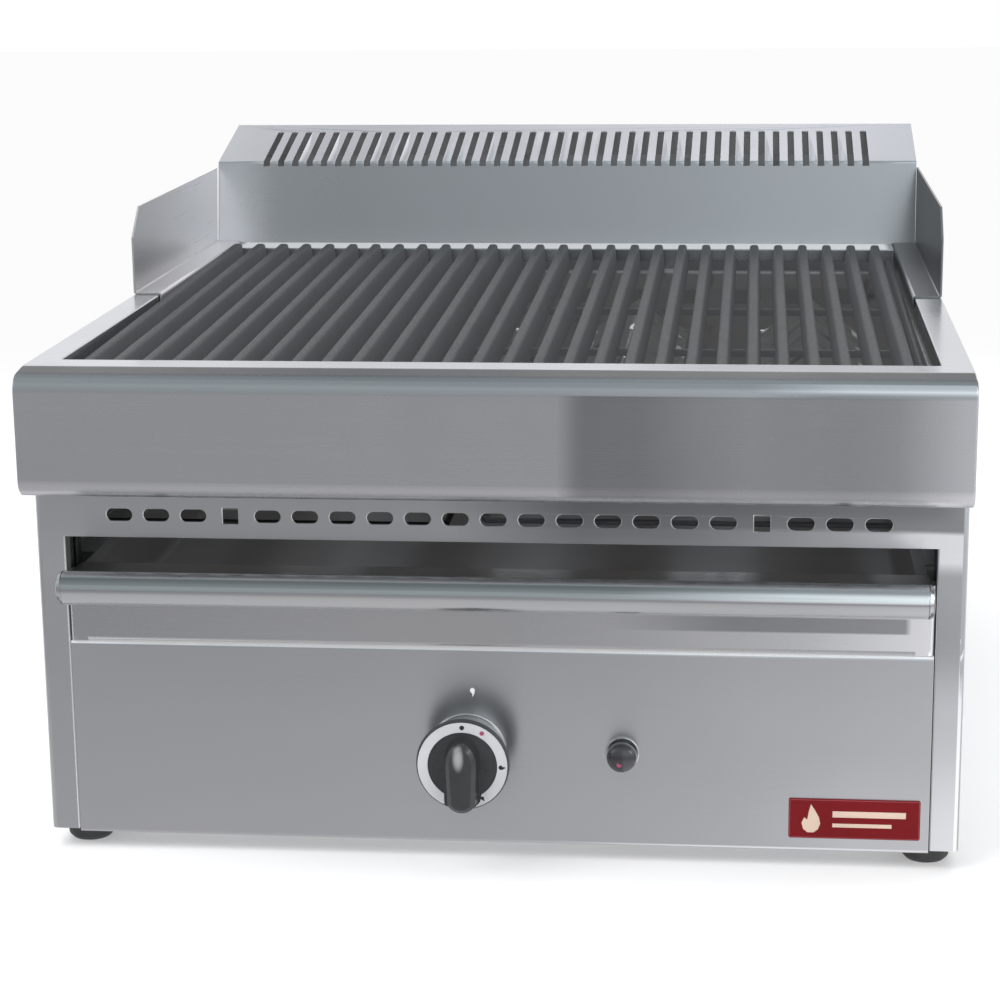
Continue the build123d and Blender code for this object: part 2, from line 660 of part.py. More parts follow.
def gas_inlet_nipple():
    """Connector: hexagon inside the rear panel, plain spigot outside."""
    with BuildPart() as nipple:
        hexagon_y(INLET_X, INLET_Z, 700.0, 713.0, 13.5)
        rod_y(INLET_X, INLET_Z, 712.5, 721.0, 11.8)
        rod_y(INLET_X, INLET_Z, 720.5, 742.0, 10.48)
        rod_y(INLET_X, INLET_Z, 699.0, 743.0, 7.0, mode=CUT)
        rear_edges = nipple.faces().sort_by(Axis.Y)[-1].edges()
        chamfer(rear_edges.sort_by(SortBy.RADIUS)[-1], length=1.0)
    save(nipple, "gas_inlet_nipple")


def pilot_burner():
    """Bracket plate with a capped pilot tube, between the two middle burners."""
    with BuildPart() as pilot:
        block(-44.0, -6.0, 106.0, 122.0, -100.0, -98.2)
        rod_z(PILOT_X, PILOT_Y, -98.6, -80.0, 4.2)
        rod_z(PILOT_X, PILOT_Y, -101.0, -82.0, 2.2, mode=CUT)
        block(-40.4, -31.6, 109.8, 118.2, -80.4, -78.8)
        # holes for the thermocouple and the electrode
        rod_z(COUPLE_X, PILOT_Y, -101.0, -98.0, 2.0, mode=CUT)
        rod_z(SPARK_X, PILOT_Y, -101.0, -98.0, 3.1, mode=CUT)
    save(pilot, "pilot_burner")


def pilot_tube():
    """Thin tube from the valve round the left side to the pilot."""
    riser_x, run_y = -285.0, PILOT_OUT_Y
    low_z, high_z = -212.0, -114.0
    with BuildPart() as tube:
        pipe([(PILOT_OUT_X, run_y, CONTROL_Z + 21.2), (PILOT_OUT_X, run_y, low_z),
              (riser_x, run_y, low_z), (riser_x, run_y, high_z), (PILOT_X, run_y, high_z),
              (PILOT_X, PILOT_Y, high_z), (PILOT_X, PILOT_Y, -101.0)], radius=2.0, bend=5.0)
    save(tube, "pilot_tube")


def thermocouple():
    """Probe beside the pilot with its lead to the rear head of the valve."""
    riser_x, run_y = -285.0, 82.0
    low_z, high_z = -218.0, -121.0
    turn_x, turn_y = KNOB_X - 40, 118.0
    with BuildPart() as probe:
        rod_z(COUPLE_X, PILOT_Y, -103.0, -74.0, 1.9)
        pipe([(COUPLE_X, PILOT_Y, -102.5), (COUPLE_X, PILOT_Y, high_z),
              (COUPLE_X, run_y, high_z), (riser_x, run_y, high_z), (riser_x, run_y, low_z),
              (turn_x, run_y, low_z), (turn_x, turn_y, CONTROL_Z),
              (KNOB_X, turn_y, CONTROL_Z), (KNOB_X, 110.6, CONTROL_Z)], radius=1.3, bend=3.2)
    save(probe, "thermocouple")


def spark_electrode():
    """Insulator and a wire bent over towards the pilot."""
    with BuildPart() as electrode:
        rod_z(SPARK_X, PILOT_Y, -108.0, -86.0, 3.0)
        rod_z(SPARK_X, PILOT_Y, -86.5, -79.0, 1.0)
        pipe([(SPARK_X, PILOT_Y, -79.5), (SPARK_X, PILOT_Y, -74.0), (-20.0, PILOT_Y, -73.0)],
             radius=1.0, bend=2.5)
    save(electrode, "spark_electrode")


def igniter_lead():
    """Wire from the electrode round the right side to the igniter."""
    riser_x, run_y = 285.0, 90.0
    low_z, high_z = -214.0, -114.0
    with BuildPart() as lead:
        pipe([(SPARK_X, PILOT_Y, -108.2), (SPARK_X, PILOT_Y, high_z), (SPARK_X, run_y, high_z),
              (riser_x, run_y, high_z), (riser_x, run_y, low_z), (IGNITER_X, 96.0, low_z),
              (IGNITER_X, 102.0, CONTROL_Z), (IGNITER_X, 92.4, CONTROL_Z)],
             radius=1.9, bend=4.0)
    save(lead, "igniter_lead")


def piezo_igniter():
    """Thin front flange, barrel, tail contact and a front well for the button."""
    with BuildPart() as igniter:
        rod_y(IGNITER_X, CONTROL_Z, 33.6, BODY_Y - 0.1, 11.0)
        rod_y(IGNITER_X, CONTROL_Z, BODY_Y - 0.5, 86.0, 9.0)
        rod_y(IGNITER_X, CONTROL_Z, 85.5, 92.0, 3.0)
        fillet(igniter.edges().filter_by(GeomType.CIRCLE).sort_by(Axis.Y)[0], radius=0.5)
        rod_y(IGNITER_X, CONTROL_Z, 27.0, 40.5, 8.6, mode=CUT)
    save(igniter, "piezo_igniter")


def piezo_nut():
    """Nut on the igniter barrel behind the control panel."""
    panel_back = BODY_Y + SHEET
    with BuildPart() as nut:
        hexagon_y(IGNITER_X, CONTROL_Z, panel_back + 0.1, panel_back + 5.0, 13.0, bore=9.06)
    save(nut, "piezo_nut")


def knob_bezel():
    """Flange and raised sleeve round the knob hub; profile is (y, radius)."""
    back = BODY_Y - 0.05
    front = 14.6
    with BuildPart() as bezel:
        turn(side_plane(KNOB_X, z=CONTROL_Z),
             [(back, 12.5), (back, 25.4), (BODY_Y - 1.6, 25.4), (BODY_Y - 2.2, 24.4),
              (15.4, 23.8), (front, 23.2), (front, 22.2), (BODY_Y - 1.5, 22.2),
              (BODY_Y - 1.5, 12.5)], (0, 1, 0))
    save(bezel, "knob_bezel")


# ================================================================ drawer bay
def drawer_runner(side, name):
    """Angle along the casing side with a stop at the rear."""
    wall_x = side * (HALF - 2.4)
    with BuildPart() as runner:
        fold_y([(wall_x, -122.0), (wall_x, -143.0), (side * 274.0, -143.0)], 100.0, 690.0)
        side_block(side, 275, 290, 684.0, 688.0, -142.6, -128.0)
    save(runner, name + "_drawer_runner")


def tray_plan(z, width, length, radius):
    """Rounded rectangle centred on the tray at height z."""
    with BuildSketch(level_plane(z)) as plan:
        with Locations((0, (TRAY_Y0 + TRAY_Y1) / 2)):
            RectangleRounded(width, length, radius)
    return plan.sketch


def water_tray():
    """Deep-drawn pan with a flat rim."""
    with BuildPart() as hollow:
        low = tray_plan(TRAY_BOTTOM + TRAY_SHEET, TRAY_W - 10.0, TRAY_LEN - 10.0, 12.0)
        high = tray_plan(TRAY_TOP + 0.4, TRAY_W - 2.6, TRAY_LEN - 2.6, 15.7)
        loft([low.face(), high.face()])
        fillet(hollow.faces().sort_by(Axis.Z)[0].edges(), radius=4.0)

    with BuildPart() as tray:
        low = tray_plan(TRAY_BOTTOM, TRAY_W - 7.2, TRAY_LEN - 7.2, 13.4)
        high = tray_plan(TRAY_TOP, TRAY_W, TRAY_LEN, 17)
        loft([low.face(), high.face()])
        fillet(tray.faces().sort_by(Axis.Z)[0].edges(), radius=4.6)
        rim = tray_plan(TRAY_TOP - TRAY_SHEET, 2 * DRAWER_HALF, TRAY_LEN + 13, 4)
        extrude(rim, amount=TRAY_SHEET)
        add(hollow.part, mode=CUT)
    save(tray, "water_tray")


def drawer_front():
    """Folded fascia whose top return lies over the tray rim."""
    wall_y = BODY_Y + MID
    end_x = FASCIA_HALF - MID
    with BuildPart() as fascia:
        fold_x([(62.0, FASCIA_TOP), (wall_y, FASCIA_TOP), (wall_y, FASCIA_LOW),
                (48.0, FASCIA_LOW)], -FASCIA_HALF + 2.2, FASCIA_HALF - 2.2)
        # rounded end cheeks
        for side, _ in SIDES:
            fold_z([(side * (FASCIA_HALF - 12), wall_y), (side * end_x, wall_y),
                    (side * end_x, 49.0)], FASCIA_LOW - MID, FASCIA_TOP + MID, bend=3.0)
        for x in POST_X:
            rod_y(x, POST_Z, BODY_Y - 1, BODY_Y + 3, 2.6, mode=CUT)
    save(fascia, "drawer_front")


def handle_tube():
    """Full-width tube handle."""
    tube_half = DRAWER_HALF - 4.0
    with BuildPart() as tube:
        rod_x(HANDLE_Y, HANDLE_Z, -tube_half, tube_half, HANDLE_R)
        rod_x(HANDLE_Y, HANDLE_Z, -tube_half - 1.0, tube_half + 1.0, HANDLE_R - 1.4, mode=CUT)
    save(tube, "handle_tube")


def handle_end_caps():
    """Plugs in the ends of the handle tube."""
    # (distance in from the handle end, radius)
    outline = ((12, 0), (0, 0), (0, HANDLE_R - 3.4), (1.0, HANDLE_R - 1.2),
               (3.0, HANDLE_R - 0.1), (3.8, HANDLE_R - 0.1), (3.8, HANDLE_R - 1.5),
               (12, HANDLE_R - 1.5))
    with BuildPart() as caps:
        for side, _ in SIDES:
            turn(front_plane(HANDLE_Y, z=HANDLE_Z),
                 [(side * (DRAWER_HALF - inset), radius) for inset, radius in outline],
                 (1, 0, 0))
    save(caps, "handle_end_caps")


def handle_posts():
    """Stand-off posts, hollowed to the handle tube and bored for the screws."""
    with BuildPart() as posts:
        for x in POST_X:
            rod_y(x, POST_Z, 8.0, BODY_Y - 0.05, 6.0)
        rod_x(HANDLE_Y, HANDLE_Z, -240.0, 240.0, HANDLE_R + 0.03, mode=CUT)
        for x in POST_X:
            rod_y(x, POST_Z, 24.0, BODY_Y + 1, 2.05, mode=CUT)
    save(posts, "handle_posts")


def handle_screws():
    """Post screws with a hexagon behind the fascia."""
    with BuildPart() as screws:
        for x in POST_X:
            rod_y(x, POST_Z, 25.0, BODY_Y + 2.0, 2.0)
            hexagon_y(x, POST_Z, BODY_Y + SHEET + 0.05, BODY_Y + SHEET + 4.0, 4.0)
    save(screws, "handle_screws")


# ================================================================ knob train
def valve_push_rod():
    with BuildPart() as push_rod:
        rod_y(KNOB_X, CONTROL_Z, 58.1, 98.0, 2.0)
    save(push_rod, "valve_push_rod")


def valve_spindle():
    """Spindle with a flat on top for the knob."""
    with BuildPart() as spindle:
        rod_y(KNOB_X, CONTROL_Z, 8.0, 58.0, 4.0)
        block(KNOB_X - 5, KNOB_X + 5, 7.0, 26.0, CONTROL_Z + 2.6, CONTROL_Z + 5, mode=CUT)
    save(spindle, "valve_spindle")


def grip_face(y, inset):
    """Outline of the knob grip at depth y, drawn in by the inset."""
    low_x, low_z = 10.4 - inset, -23.6 + 0.3 * inset
    top_x, top_z = 8.0 - inset * 0.6, 14.6 - inset * 0.9
    flank = ((10.7 - inset, -14.0), (11.2 - inset, -2.0), (10.8 - inset, 8.0))
    with BuildSketch(front_plane(y, KNOB_X, CONTROL_Z)) as grip:
        with BuildLine():
            ThreePointArc((-low_x, low_z), (0, -30.2 + inset), (low_x, low_z))
            Spline((low_x, low_z), *flank, (top_x, top_z))
            ThreePointArc((top_x, top_z), (0, 18.6 - inset), (-top_x, top_z))
            Spline((-top_x, top_z), *[(-x, z) for x, z in reversed(flank)], (-low_x, low_z))
        make_face()
    return grip.sketch.face()


def control_knob():
    """Thin dial disc on a narrower hub, D-bore, broad grip lobe pointing down."""
    disc_back = KNOB_FRONT + 5.2
    hub_open = KNOB_BACK + 1
    bore_r = 4.03
    with BuildPart() as knob:
        # (y, radius)
        turn(side_plane(KNOB_X, z=CONTROL_Z),
             [(KNOB_BACK, 0), (KNOB_BACK, HUB_R), (disc_back, HUB_R), (disc_back, KNOB_R - 0.8),
              (KNOB_FRONT + 3.4, KNOB_R), (KNOB_FRONT, KNOB_R - 0.6), (KNOB_FRONT, 0)],
             (0, 1, 0), rounds=((5, 0.5),))
        grip = [grip_face(y, inset)
                for y, inset in ((KNOB_FRONT + 0.2, 0.0), (-6.4, 1.5), (-9.0, 4.2))]
        loft(grip[:2])
        loft(grip[1:])
        # D-shaped socket for the spindle, round at its mouth
        with BuildSketch(front_plane(hub_open, KNOB_X, CONTROL_Z)) as socket:
            Circle(bore_r)
            with Locations((0, 5.15)):
                Rectangle(10, 5, mode=CUT)
        extrude(socket.sketch, amount=hub_open - 7.9, mode=CUT)
        rod_y(KNOB_X, CONTROL_Z, 26.0, hub_open, bore_r, mode=CUT)
        # hollow back of the hub
        with BuildSketch(front_plane(hub_open, KNOB_X, CONTROL_Z)) as hollow:
            Circle(HUB_R - 2.2)
            Circle(8.0, mode=CUT)
        extrude(hollow.sketch, amount=hub_open - 11.5, mode=CUT)
    save(knob, "control_knob")


def knob_dial_ring():
    """Thin ring on the dial, open at the bottom where the grip crosses it."""
    # (x, z) about the knob axis
    gap = ((-12.0, -14.0), (-12.0, -36.0), (0.0, -36.0), (1.5, -30.5), (4.6, -29.5),
           (8.0, -27.5), (10.9, -24.4), (12.0, -21.0), (12.0, -14.0))
    with BuildPart() as ring:
        with BuildSketch(front_plane(KNOB_FRONT - 0.05, KNOB_X, CONTROL_Z)) as dial:
            Circle(29.0)
            Circle(22.5, mode=CUT)
            with BuildLine():
                Polyline(*gap, close=True)
            make_face(mode=CUT)
        extrude(dial.sketch, amount=0.6)
    save(ring, "knob_dial_ring")


def igniter_button():
    """Domed mushroom cap on a short stem; profile is (y, radius)."""
    plane = side_plane(IGNITER_X, z=CONTROL_Z)
    back, crown, dome_y, cap_r = 34.5, 19.6, 26.0, 9.8
    with BuildPart() as button:
        with BuildSketch(plane) as cap:
            with BuildLine():
                Polyline((back, 0), (back, 8.4), (28.4, 8.4), (28.4, cap_r), (dome_y, cap_r))
                Spline((dome_y, cap_r), (22.4, 8.4), (20.3, 5.0), (crown, 0))
                Line((crown, 0), (back, 0))
            make_face()
        revolve(cap.sketch, axis=Axis(plane.origin, (0, 1, 0)))
    save(button, "igniter_button")


# ================================================================ cast grates
def grate(name, first, last):
    """Grate section with the bars from first up to, not including, last."""
    tilt = atan2(GRATE_Z1 - GRATE_Z0, GRATE_Y1 - GRATE_Y0)
    length = (GRATE_Y1 - GRATE_Y0) / cos(tilt)
    bar_xs = [BAR_X0 + i * BAR_PITCH for i in range(first, last)]
    x0, x1 = bar_xs[0], bar_xs[-1]
    top_half, base_half, crown = BAR_TOP / 2, BAR_BASE / 2, 1.0
    # square to the bars; local Y points down
    bar_plane = Plane(origin=(0, part_y(GRATE_Y0), part_z(GRATE_Z0)), x_dir=(1, 0, 0),
                      z_dir=(0, cos(tilt), sin(tilt)))
    with BuildPart() as section:
        # tapered bars with a chamfered crown
        with BuildSketch(bar_plane) as bars:
            for x in bar_xs:
                with BuildLine():
                    Polyline((x - base_half, BAR_H), (x - top_half, crown),
                             (x - top_half + crown, 0.0), (x + top_half - crown, 0.0),
                             (x + top_half, crown), (x + base_half, BAR_H), close=True)
                make_face()
        extrude(bars.sketch, amount=length)
        if last == BAR_N:
            # low rail along the right side of the last section
            x1 = 274.4
            rail_top = 11.0
            with BuildSketch(bar_plane) as rail:
                with Locations((x1, (BAR_H + rail_top) / 2)):
                    Rectangle(5.0, BAR_H - rail_top)
            extrude(rail.sketch, amount=length)
        # ribs that tie the bars: (front y, top and bottom below the crown, width)
        for y, top, bottom, width in ((GRATE_Y0 + 1.0, 9.0, BAR_H, 8.0),
                                      (GRATE_Y1 - 15.0, 12.0, BAR_H, 8.0),
                                      (200.0, 14.0, 20.0, 6.0), (355.0, 14.0, 20.0, 6.0)):
            block(x0, x1, y, y + width, grate_top(y) - bottom, grate_top(y) - top)
        # rear upper corners of the bars are rounded off
        radius = 9.0
        arc_y, arc_z = GRATE_Y1 - radius, GRATE_Z1 - radius
        with BuildSketch(side_plane(x0 - 20)) as corner:
            with BuildLine():
                Line((arc_y, GRATE_Z1 + 2), (arc_y, GRATE_Z1))
                ThreePointArc((arc_y, GRATE_Z1),
                              (arc_y + radius * sin(radians(45)),
                               arc_z + radius * cos(radians(45))),
                              (GRATE_Y1, arc_z))
                Polyline((GRATE_Y1, arc_z), (GRATE_Y1 + 3, arc_z),
                         (GRATE_Y1 + 3, GRATE_Z1 + 2), (arc_y, GRATE_Z1 + 2))
            make_face()
        extrude(corner.sketch, amount=x1 - x0 + 40, mode=CUT)
    save(section, name)


# ================================================================ build everything
for build in (top_frame, flue_hood, flue_baffle,
              front_frame, rear_panel, base_panel, control_panel, drawer_shelf,
              feet, foot_screws, casing_screws, badge, firebox,
              gas_manifold, injectors, gas_valve, manifold_feed_pipe, gas_inlet_pipe,
              gas_inlet_nipple, pilot_burner, pilot_tube, thermocouple, spark_electrode,
              igniter_lead, piezo_igniter, piezo_nut, knob_bezel,
              water_tray, drawer_front, handle_tube, handle_end_caps, handle_posts,
              handle_screws, valve_push_rod, valve_spindle, control_knob, knob_dial_ring,
              igniter_button):
    build()

for side, name in SIDES:
    splash_guard(side, name)
    side_panel(side, name)
    drawer_runner(side, name)

for number, x in enumerate(BURNER_X, start=1):
    deflector(x, f"deflector_{number}")
    burner(x, f"burner_{number}")

burner_rail(124.0, "front_burner_rail")
burner_rail(520.0, "rear_burner_rail")
grate_rest("front_grate_rest", GRATE_Y0, outer_y=52.5, outer_drop=7.0,
           inner_y=66.0, inner_drop=12.0)
grate_rest("rear_grate_rest", 561.0, outer_y=576.6, outer_drop=12.0,
           inner_y=560.0, inner_drop=14.0)

grate("grate_left", 0, 10)
grate("grate_centre", 10, 19)
grate("grate_right", 19, BAR_N)
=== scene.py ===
"""Gas lava-rock style grill top for a cooking row: steel casing, cast grates, hood and controls.

Row frame in metres: +X right, +Y to the rear, +Z up; the operator stands on the -Y side.
Sizes in millimetres are measured from the apron face (depth) and the worktop rim (height).
"""
import bpy
import bmesh
import json
import math
from mathutils import Matrix, Vector, noise


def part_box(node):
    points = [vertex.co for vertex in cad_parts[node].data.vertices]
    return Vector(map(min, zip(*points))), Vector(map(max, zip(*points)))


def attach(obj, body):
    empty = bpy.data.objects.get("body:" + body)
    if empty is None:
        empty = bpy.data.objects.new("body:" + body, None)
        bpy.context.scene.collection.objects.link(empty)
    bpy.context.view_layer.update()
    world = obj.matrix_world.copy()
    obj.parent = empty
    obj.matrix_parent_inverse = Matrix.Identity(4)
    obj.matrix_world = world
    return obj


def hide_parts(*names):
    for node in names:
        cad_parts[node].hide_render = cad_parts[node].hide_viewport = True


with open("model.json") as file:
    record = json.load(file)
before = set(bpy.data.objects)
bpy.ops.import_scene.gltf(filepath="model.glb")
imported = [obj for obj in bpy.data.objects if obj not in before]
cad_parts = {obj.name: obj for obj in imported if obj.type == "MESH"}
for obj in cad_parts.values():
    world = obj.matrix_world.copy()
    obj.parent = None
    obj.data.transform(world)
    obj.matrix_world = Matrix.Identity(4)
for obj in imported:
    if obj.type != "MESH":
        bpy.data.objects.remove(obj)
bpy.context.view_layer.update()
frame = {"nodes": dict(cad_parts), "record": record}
NODES = frame["nodes"]

MM = 0.001
APRON_Y = -367.0    # apron face in the row frame, mm
RIM_Z = 331.0       # worktop rim in the row frame, mm


def apron_point(x, depth, height):
    """Point in metres in the row frame from mm off the apron face and the worktop rim."""
    return Vector((x * MM, (depth + APRON_Y) * MM, (height + RIM_Z) * MM))


# ------------------------------------------------------------------ shader graphs
MATERIALS = {}
AXES = "XYZ"
INPUTS = {"color": "Base Color", "metallic": "Metallic", "rough": "Roughness",
          "aniso": "Anisotropic", "tangent": "Tangent", "normal": "Normal",
          "coat": "Coat Weight", "coat_rough": "Coat Roughness", "spec": "Specular IOR Level",
          "edge_tint": "Specular Tint", "emit": "Emission Color",
          "emit_strength": "Emission Strength"}


def rgb(value):
    """Colour triple; a single number gives a grey."""
    return (value,) * 3 if isinstance(value, (int, float)) else tuple(value)


class Graph:
    """Short ways to add shader nodes; a value may be a number, a colour or another socket."""

    def __init__(self, owner, output):
        owner.use_nodes = True
        self.nodes = owner.node_tree.nodes
        self.links = owner.node_tree.links
        self.nodes.clear()
        self.out = self.node(output)
        self.coord = self.node("TexCoord")

    def feed(self, socket, value):
        if isinstance(value, bpy.types.NodeSocket):
            self.links.new(value, socket)
        elif socket.type == "RGBA":
            socket.default_value = (*rgb(value), 1.0)
        else:
            socket.default_value = value

    def node(self, kind, inputs=None, **settings):
        new = self.nodes.new("ShaderNode" + kind)
        for key, value in settings.items():
            setattr(new, key, value)
        for key, value in (inputs or {}).items():
            self.feed(new.inputs[key], value)
        return new

    def mapping(self, scale, offset):
        return self.node("Mapping", {"Vector": self.coord.outputs["Object"],
                                     "Location": offset, "Scale": rgb(scale)}).outputs[0]

    def noise(self, scale, detail=2.0, rough=0.5, dist=0.0, offset=(0, 0, 0)):
        return self.node("TexNoise", {"Vector": self.mapping(scale, offset), "Scale": 1.0,
                                      "Detail": detail, "Roughness": rough,
                                      "Distortion": dist}).outputs["Fac"]

    def voronoi(self, scale, out):
        return self.node("TexVoronoi", {"Vector": self.mapping(scale, (0, 0, 0)),
                                        "Scale": 1.0}).outputs[out]

    def math(self, operation, a, b=0.0):
        return self.node("Math", {0: a, 1: b}, operation=operation).outputs[0]

    def add(self, first, *others):
        for other in others:
            first = self.math("ADD", first, other)
        return first

    def times(self, first, *others):
        for other in others:
            first = self.math("MULTIPLY", first, other)
        return first

    def weigh(self, *pairs):
        """Sum of (value, weight) pairs."""
        return self.add(*[self.times(value, weight) for value, weight in pairs])

    def remap(self, value, span=(0.3, 0.7), to=(0.0, 1.0), smooth=False):
        """Map span to the range `to`; the default span is where noise mostly lies."""
        kind = "SMOOTHSTEP" if smooth else "LINEAR"
        return self.node("MapRange", {0: value, 1: span[0], 2: span[1], 3: to[0], 4: to[1]},
                         interpolation_type=kind).outputs[0]

    def ramp(self, value, stops):
        new = self.node("ValToRGB", {0: value})
        elements = new.color_ramp.elements
        while len(elements) < len(stops):
            elements.new(0.5)
        for element, (position, color) in zip(elements, stops):
            element.position = position
            element.color = (*rgb(color), 1.0)
        return new.outputs[0]

    def mix(self, factor, a, b, mode="MIX"):
        return self.node("Mix", {0: factor, 6: a, 7: b}, data_type="RGBA",
                         blend_type=mode).outputs[2]

    def tone(self, color, gain):
        """Colour multiplied by a gain."""
        return self.mix(1.0, color, gain, "MULTIPLY")

    def grey(self, value):
        return self.node("CombineXYZ", {0: value, 1: value, 2: value}).outputs[0]

    def split(self, vector):
        return self.node("SeparateXYZ", {0: vector}).outputs[0:3]

    def mix_shader(self, factor, a, b):
        return self.node("MixShader", {0: factor, 1: a, 2: b}).outputs[0]


class Surface(Graph):
    """Principled material, kept in MATERIALS under its name."""

    def __init__(self, name):
        self.mat = bpy.data.materials.new(name)
        super().__init__(self.mat, "OutputMaterial")
        MATERIALS[name] = self.mat
        self.bsdf = self.node("BsdfPrincipled")
        self.feed(self.out.inputs[0], self.bsdf.outputs[0])

    def set(self, **values):
        for key, value in values.items():
            self.feed(self.bsdf.inputs[INPUTS[key]], value)

    def normal_vector(self):
        return self.node("NewGeometry").outputs["Normal"]

    def position(self):
        return self.split(self.coord.outputs["Object"])

    def normal(self):
        return self.split(self.normal_vector())

    def bump(self, height, strength, distance, edge=None):
        """Relief, on top of edges rounded to the radius `edge` where one is given."""
        inputs = {"Height": height, "Strength": strength, "Distance": distance}
        if edge is not None:
            inputs["Normal"] = self.node("Bevel", {"Radius": edge}, samples=4).outputs[0]
        return self.node("Bump", inputs).outputs[0]

    def across(self, grain):
        """Surface direction square to the grain, where brushed metal spreads its highlights."""
        along = tuple(1.0 if axis == grain else 0.0 for axis in AXES)
        cross = self.node("VectorMath", {0: self.normal_vector(), 1: along},
                          operation="CROSS_PRODUCT").outputs[0]
        # a small nudge keeps the direction from vanishing on faces square to the grain
        nudged = self.node("VectorMath", {0: cross, 1: (0.004, 0.003, 0.005)},
                           operation="ADD").outputs[0]
        return self.node("VectorMath", {0: nudged}, operation="NORMALIZE").outputs[0]


def grain_scale(grain, along, across):
    return tuple(along if axis == grain else across for axis in AXES)


# ------------------------------------------------------------------ material kinds
def painted_reflection_gain(t, front, back):
    """Painted reflection: tone by mirror direction, the crisp part of what polished sheet shows
    of a studio.

    front: rows (height, [(x, gain), ...]) for directions towards the operator;
    back: [(height, gain), ...] for directions to the rear, or None.
    """
    mirror_x, mirror_y, mirror_z = t.split(t.coord.outputs["Reflection"])
    azimuth = t.remap(mirror_x, span=(-0.5, 0.5))
    front_gain = below = None
    for height, stops in front:
        # gains are halved to fit the ramp and doubled again below
        row = t.ramp(azimuth, [(x + 0.5, gain * 0.5) for x, gain in stops])
        if front_gain is None:
            front_gain = row
        else:
            rise = t.remap(mirror_z, span=(below, height), smooth=True)
            front_gain = t.mix(rise, front_gain, row)
        below = height
    front_gain = t.tone(front_gain, 2.0)
    if back:
        back_gain = t.ramp(t.remap(mirror_z, span=(-1.0, 1.0)),
                           [((height + 1) / 2, gain) for height, gain in back])
    else:
        back_gain = t.grey(1.0)
    return t.mix(t.remap(mirror_y, span=(-0.15, 0.15), smooth=True), front_gain, back_gain)


def steel(name, base, rough, grain="X", aniso=0.65, tone=0.05, smudge=0.03, bump=0.10, seed=0.0,
          metallic=1.0, front=None, back=None, painted_glow=0.0, edge_tint=None, shade_sweep=None, painted_zones=()):
    """Brushed stainless: fine grain lines, slower streaks, handling marks, soft bright edges.

    front, back: rows of painted reflection, see painted_reflection_gain;
    sweep: painted shade, (span, gains) along y and along z;
    glints: (mask, colour, emission) for zones of painted highlight, shade and reflection.
    """
    t = Surface(name)
    offset = (seed, seed * 1.7, seed * 0.6)
    line = t.noise(grain_scale(grain, 5.0, 1500.0), rough=0.6, offset=offset)
    streak = t.noise(grain_scale(grain, 3.0, 620.0), rough=0.55, offset=offset)
    hair = t.noise(grain_scale(grain, 14.0, 4200.0), detail=1.0, offset=offset)
    cloud = t.noise(7.0, detail=4.0, rough=0.55, dist=0.4, offset=offset)
    dust = t.noise(60.0, detail=5.0, rough=0.7, offset=offset)
    lines = t.weigh((t.weigh((line, 0.65), (streak, 0.35)), 0.75), (hair, 0.25))
    gain = t.times(t.remap(lines, to=(1.0 - tone, 1.0 + tone)),
                   t.remap(cloud, span=(0.25, 0.75), to=(1.0 - tone * 0.6, 1.0 + tone * 0.5)))
    warm = (base[0] * 1.015, base[1], base[2] * 0.985)
    color = t.tone(t.mix(t.remap(cloud), base, warm), t.grey(gain))
    roughness = t.add(rough,
                      t.remap(lines, to=(-0.012, 0.012)),
                      t.remap(cloud, span=(0.35, 0.75), to=(0.0, smudge), smooth=True),
                      t.remap(dust, span=(0.55, 0.75), to=(0.0, 0.02)))
    # painted reflection: the colour toned by mirror direction
    if front:
        color = t.tone(color, painted_reflection_gain(t, front, back))
    # painted shade: the colour toned along y and along z
    if shade_sweep:
        _, y, z = t.position()
        shade = t.times(t.remap(y, *shade_sweep[0], smooth=True), t.remap(z, *shade_sweep[1], smooth=True))
        color = t.tone(color, t.grey(shade))
    if edge_tint is not None:
        t.set(edge_tint=edge_tint)
    # zones of painted highlight, shade and reflection, each with its own colour and emission
    if painted_zones:
        light = 0.0
        for mask, zone_color, zone_light in painted_zones:
            inside = mask(t)
            color = t.mix(inside, color, zone_color)
            light = t.mix(inside, light, zone_light)
        t.set(emit=light, emit_strength=1.0)
    # painted light: emission in the surface's own colour
    if painted_glow:
        t.set(emit=color, emit_strength=painted_glow)
    t.set(color=color, metallic=metallic, rough=roughness, aniso=aniso, tangent=t.across(grain),
          normal=t.bump(lines, strength=bump, distance=0.0003, edge=0.0006))


# stops of the heat colours: (cloud value, gain on the base colour)
HEAT_TINTS = [(0.30, (1.0, 1.0, 1.0)), (0.48, (1.05, 0.88, 0.66)), (0.60, (0.72, 0.60, 0.62)),
              (0.74, (0.60, 0.68, 0.86))]


def heated(name, base, rough, tint, painted_glow, ridge=False):
    """Mill-finish sheet darkened by heat: straw and blue tints, soot in patches."""
    t = Surface(name)
    lines = t.noise(grain_scale("Y", 5.0, 900.0), detail=3.0)
    cloud = t.noise(9.0, detail=5.0, rough=0.6, dist=0.8)
    soot = t.noise(26.0, detail=6.0, rough=0.65)
    tinted = t.ramp(cloud, [(stop, tuple(b * gain for b, gain in zip(base, gains)))
                            for stop, gains in HEAT_TINTS])
    sooty = t.remap(soot, span=(0.52, 0.72), to=(0.0, 0.55), smooth=True)
    color = t.mix(sooty, t.mix(tint, base, tinted), (0.03, 0.028, 0.026))
    # painted light: emission in the sheet's own colour, for stray light inside
    light = t.tone(color, painted_glow)
    if ridge:
        # painted highlights: bright dashes along the folded ridge, lighter and with emission
        dash = t.noise((60.0, 26.0, 60.0))
        ridge_glint = t.times(t.remap(t.normal()[2], span=(0.86, 0.97), smooth=True),
                       t.remap(dash, span=(0.55, 0.62), smooth=True))
        color = t.mix(ridge_glint, color, (0.85, 0.86, 0.87))
        light = t.mix(ridge_glint, light, (0.55, 0.56, 0.57))
    t.set(color=color, metallic=0.9, emit=light, emit_strength=1.0,
          rough=t.add(rough, t.remap(soot, span=(0.4, 0.7), to=(-0.05, 0.22))),
          normal=t.bump(t.add(lines, t.times(soot, 0.8)), strength=0.2, distance=0.0004,
                        edge=0.0005))


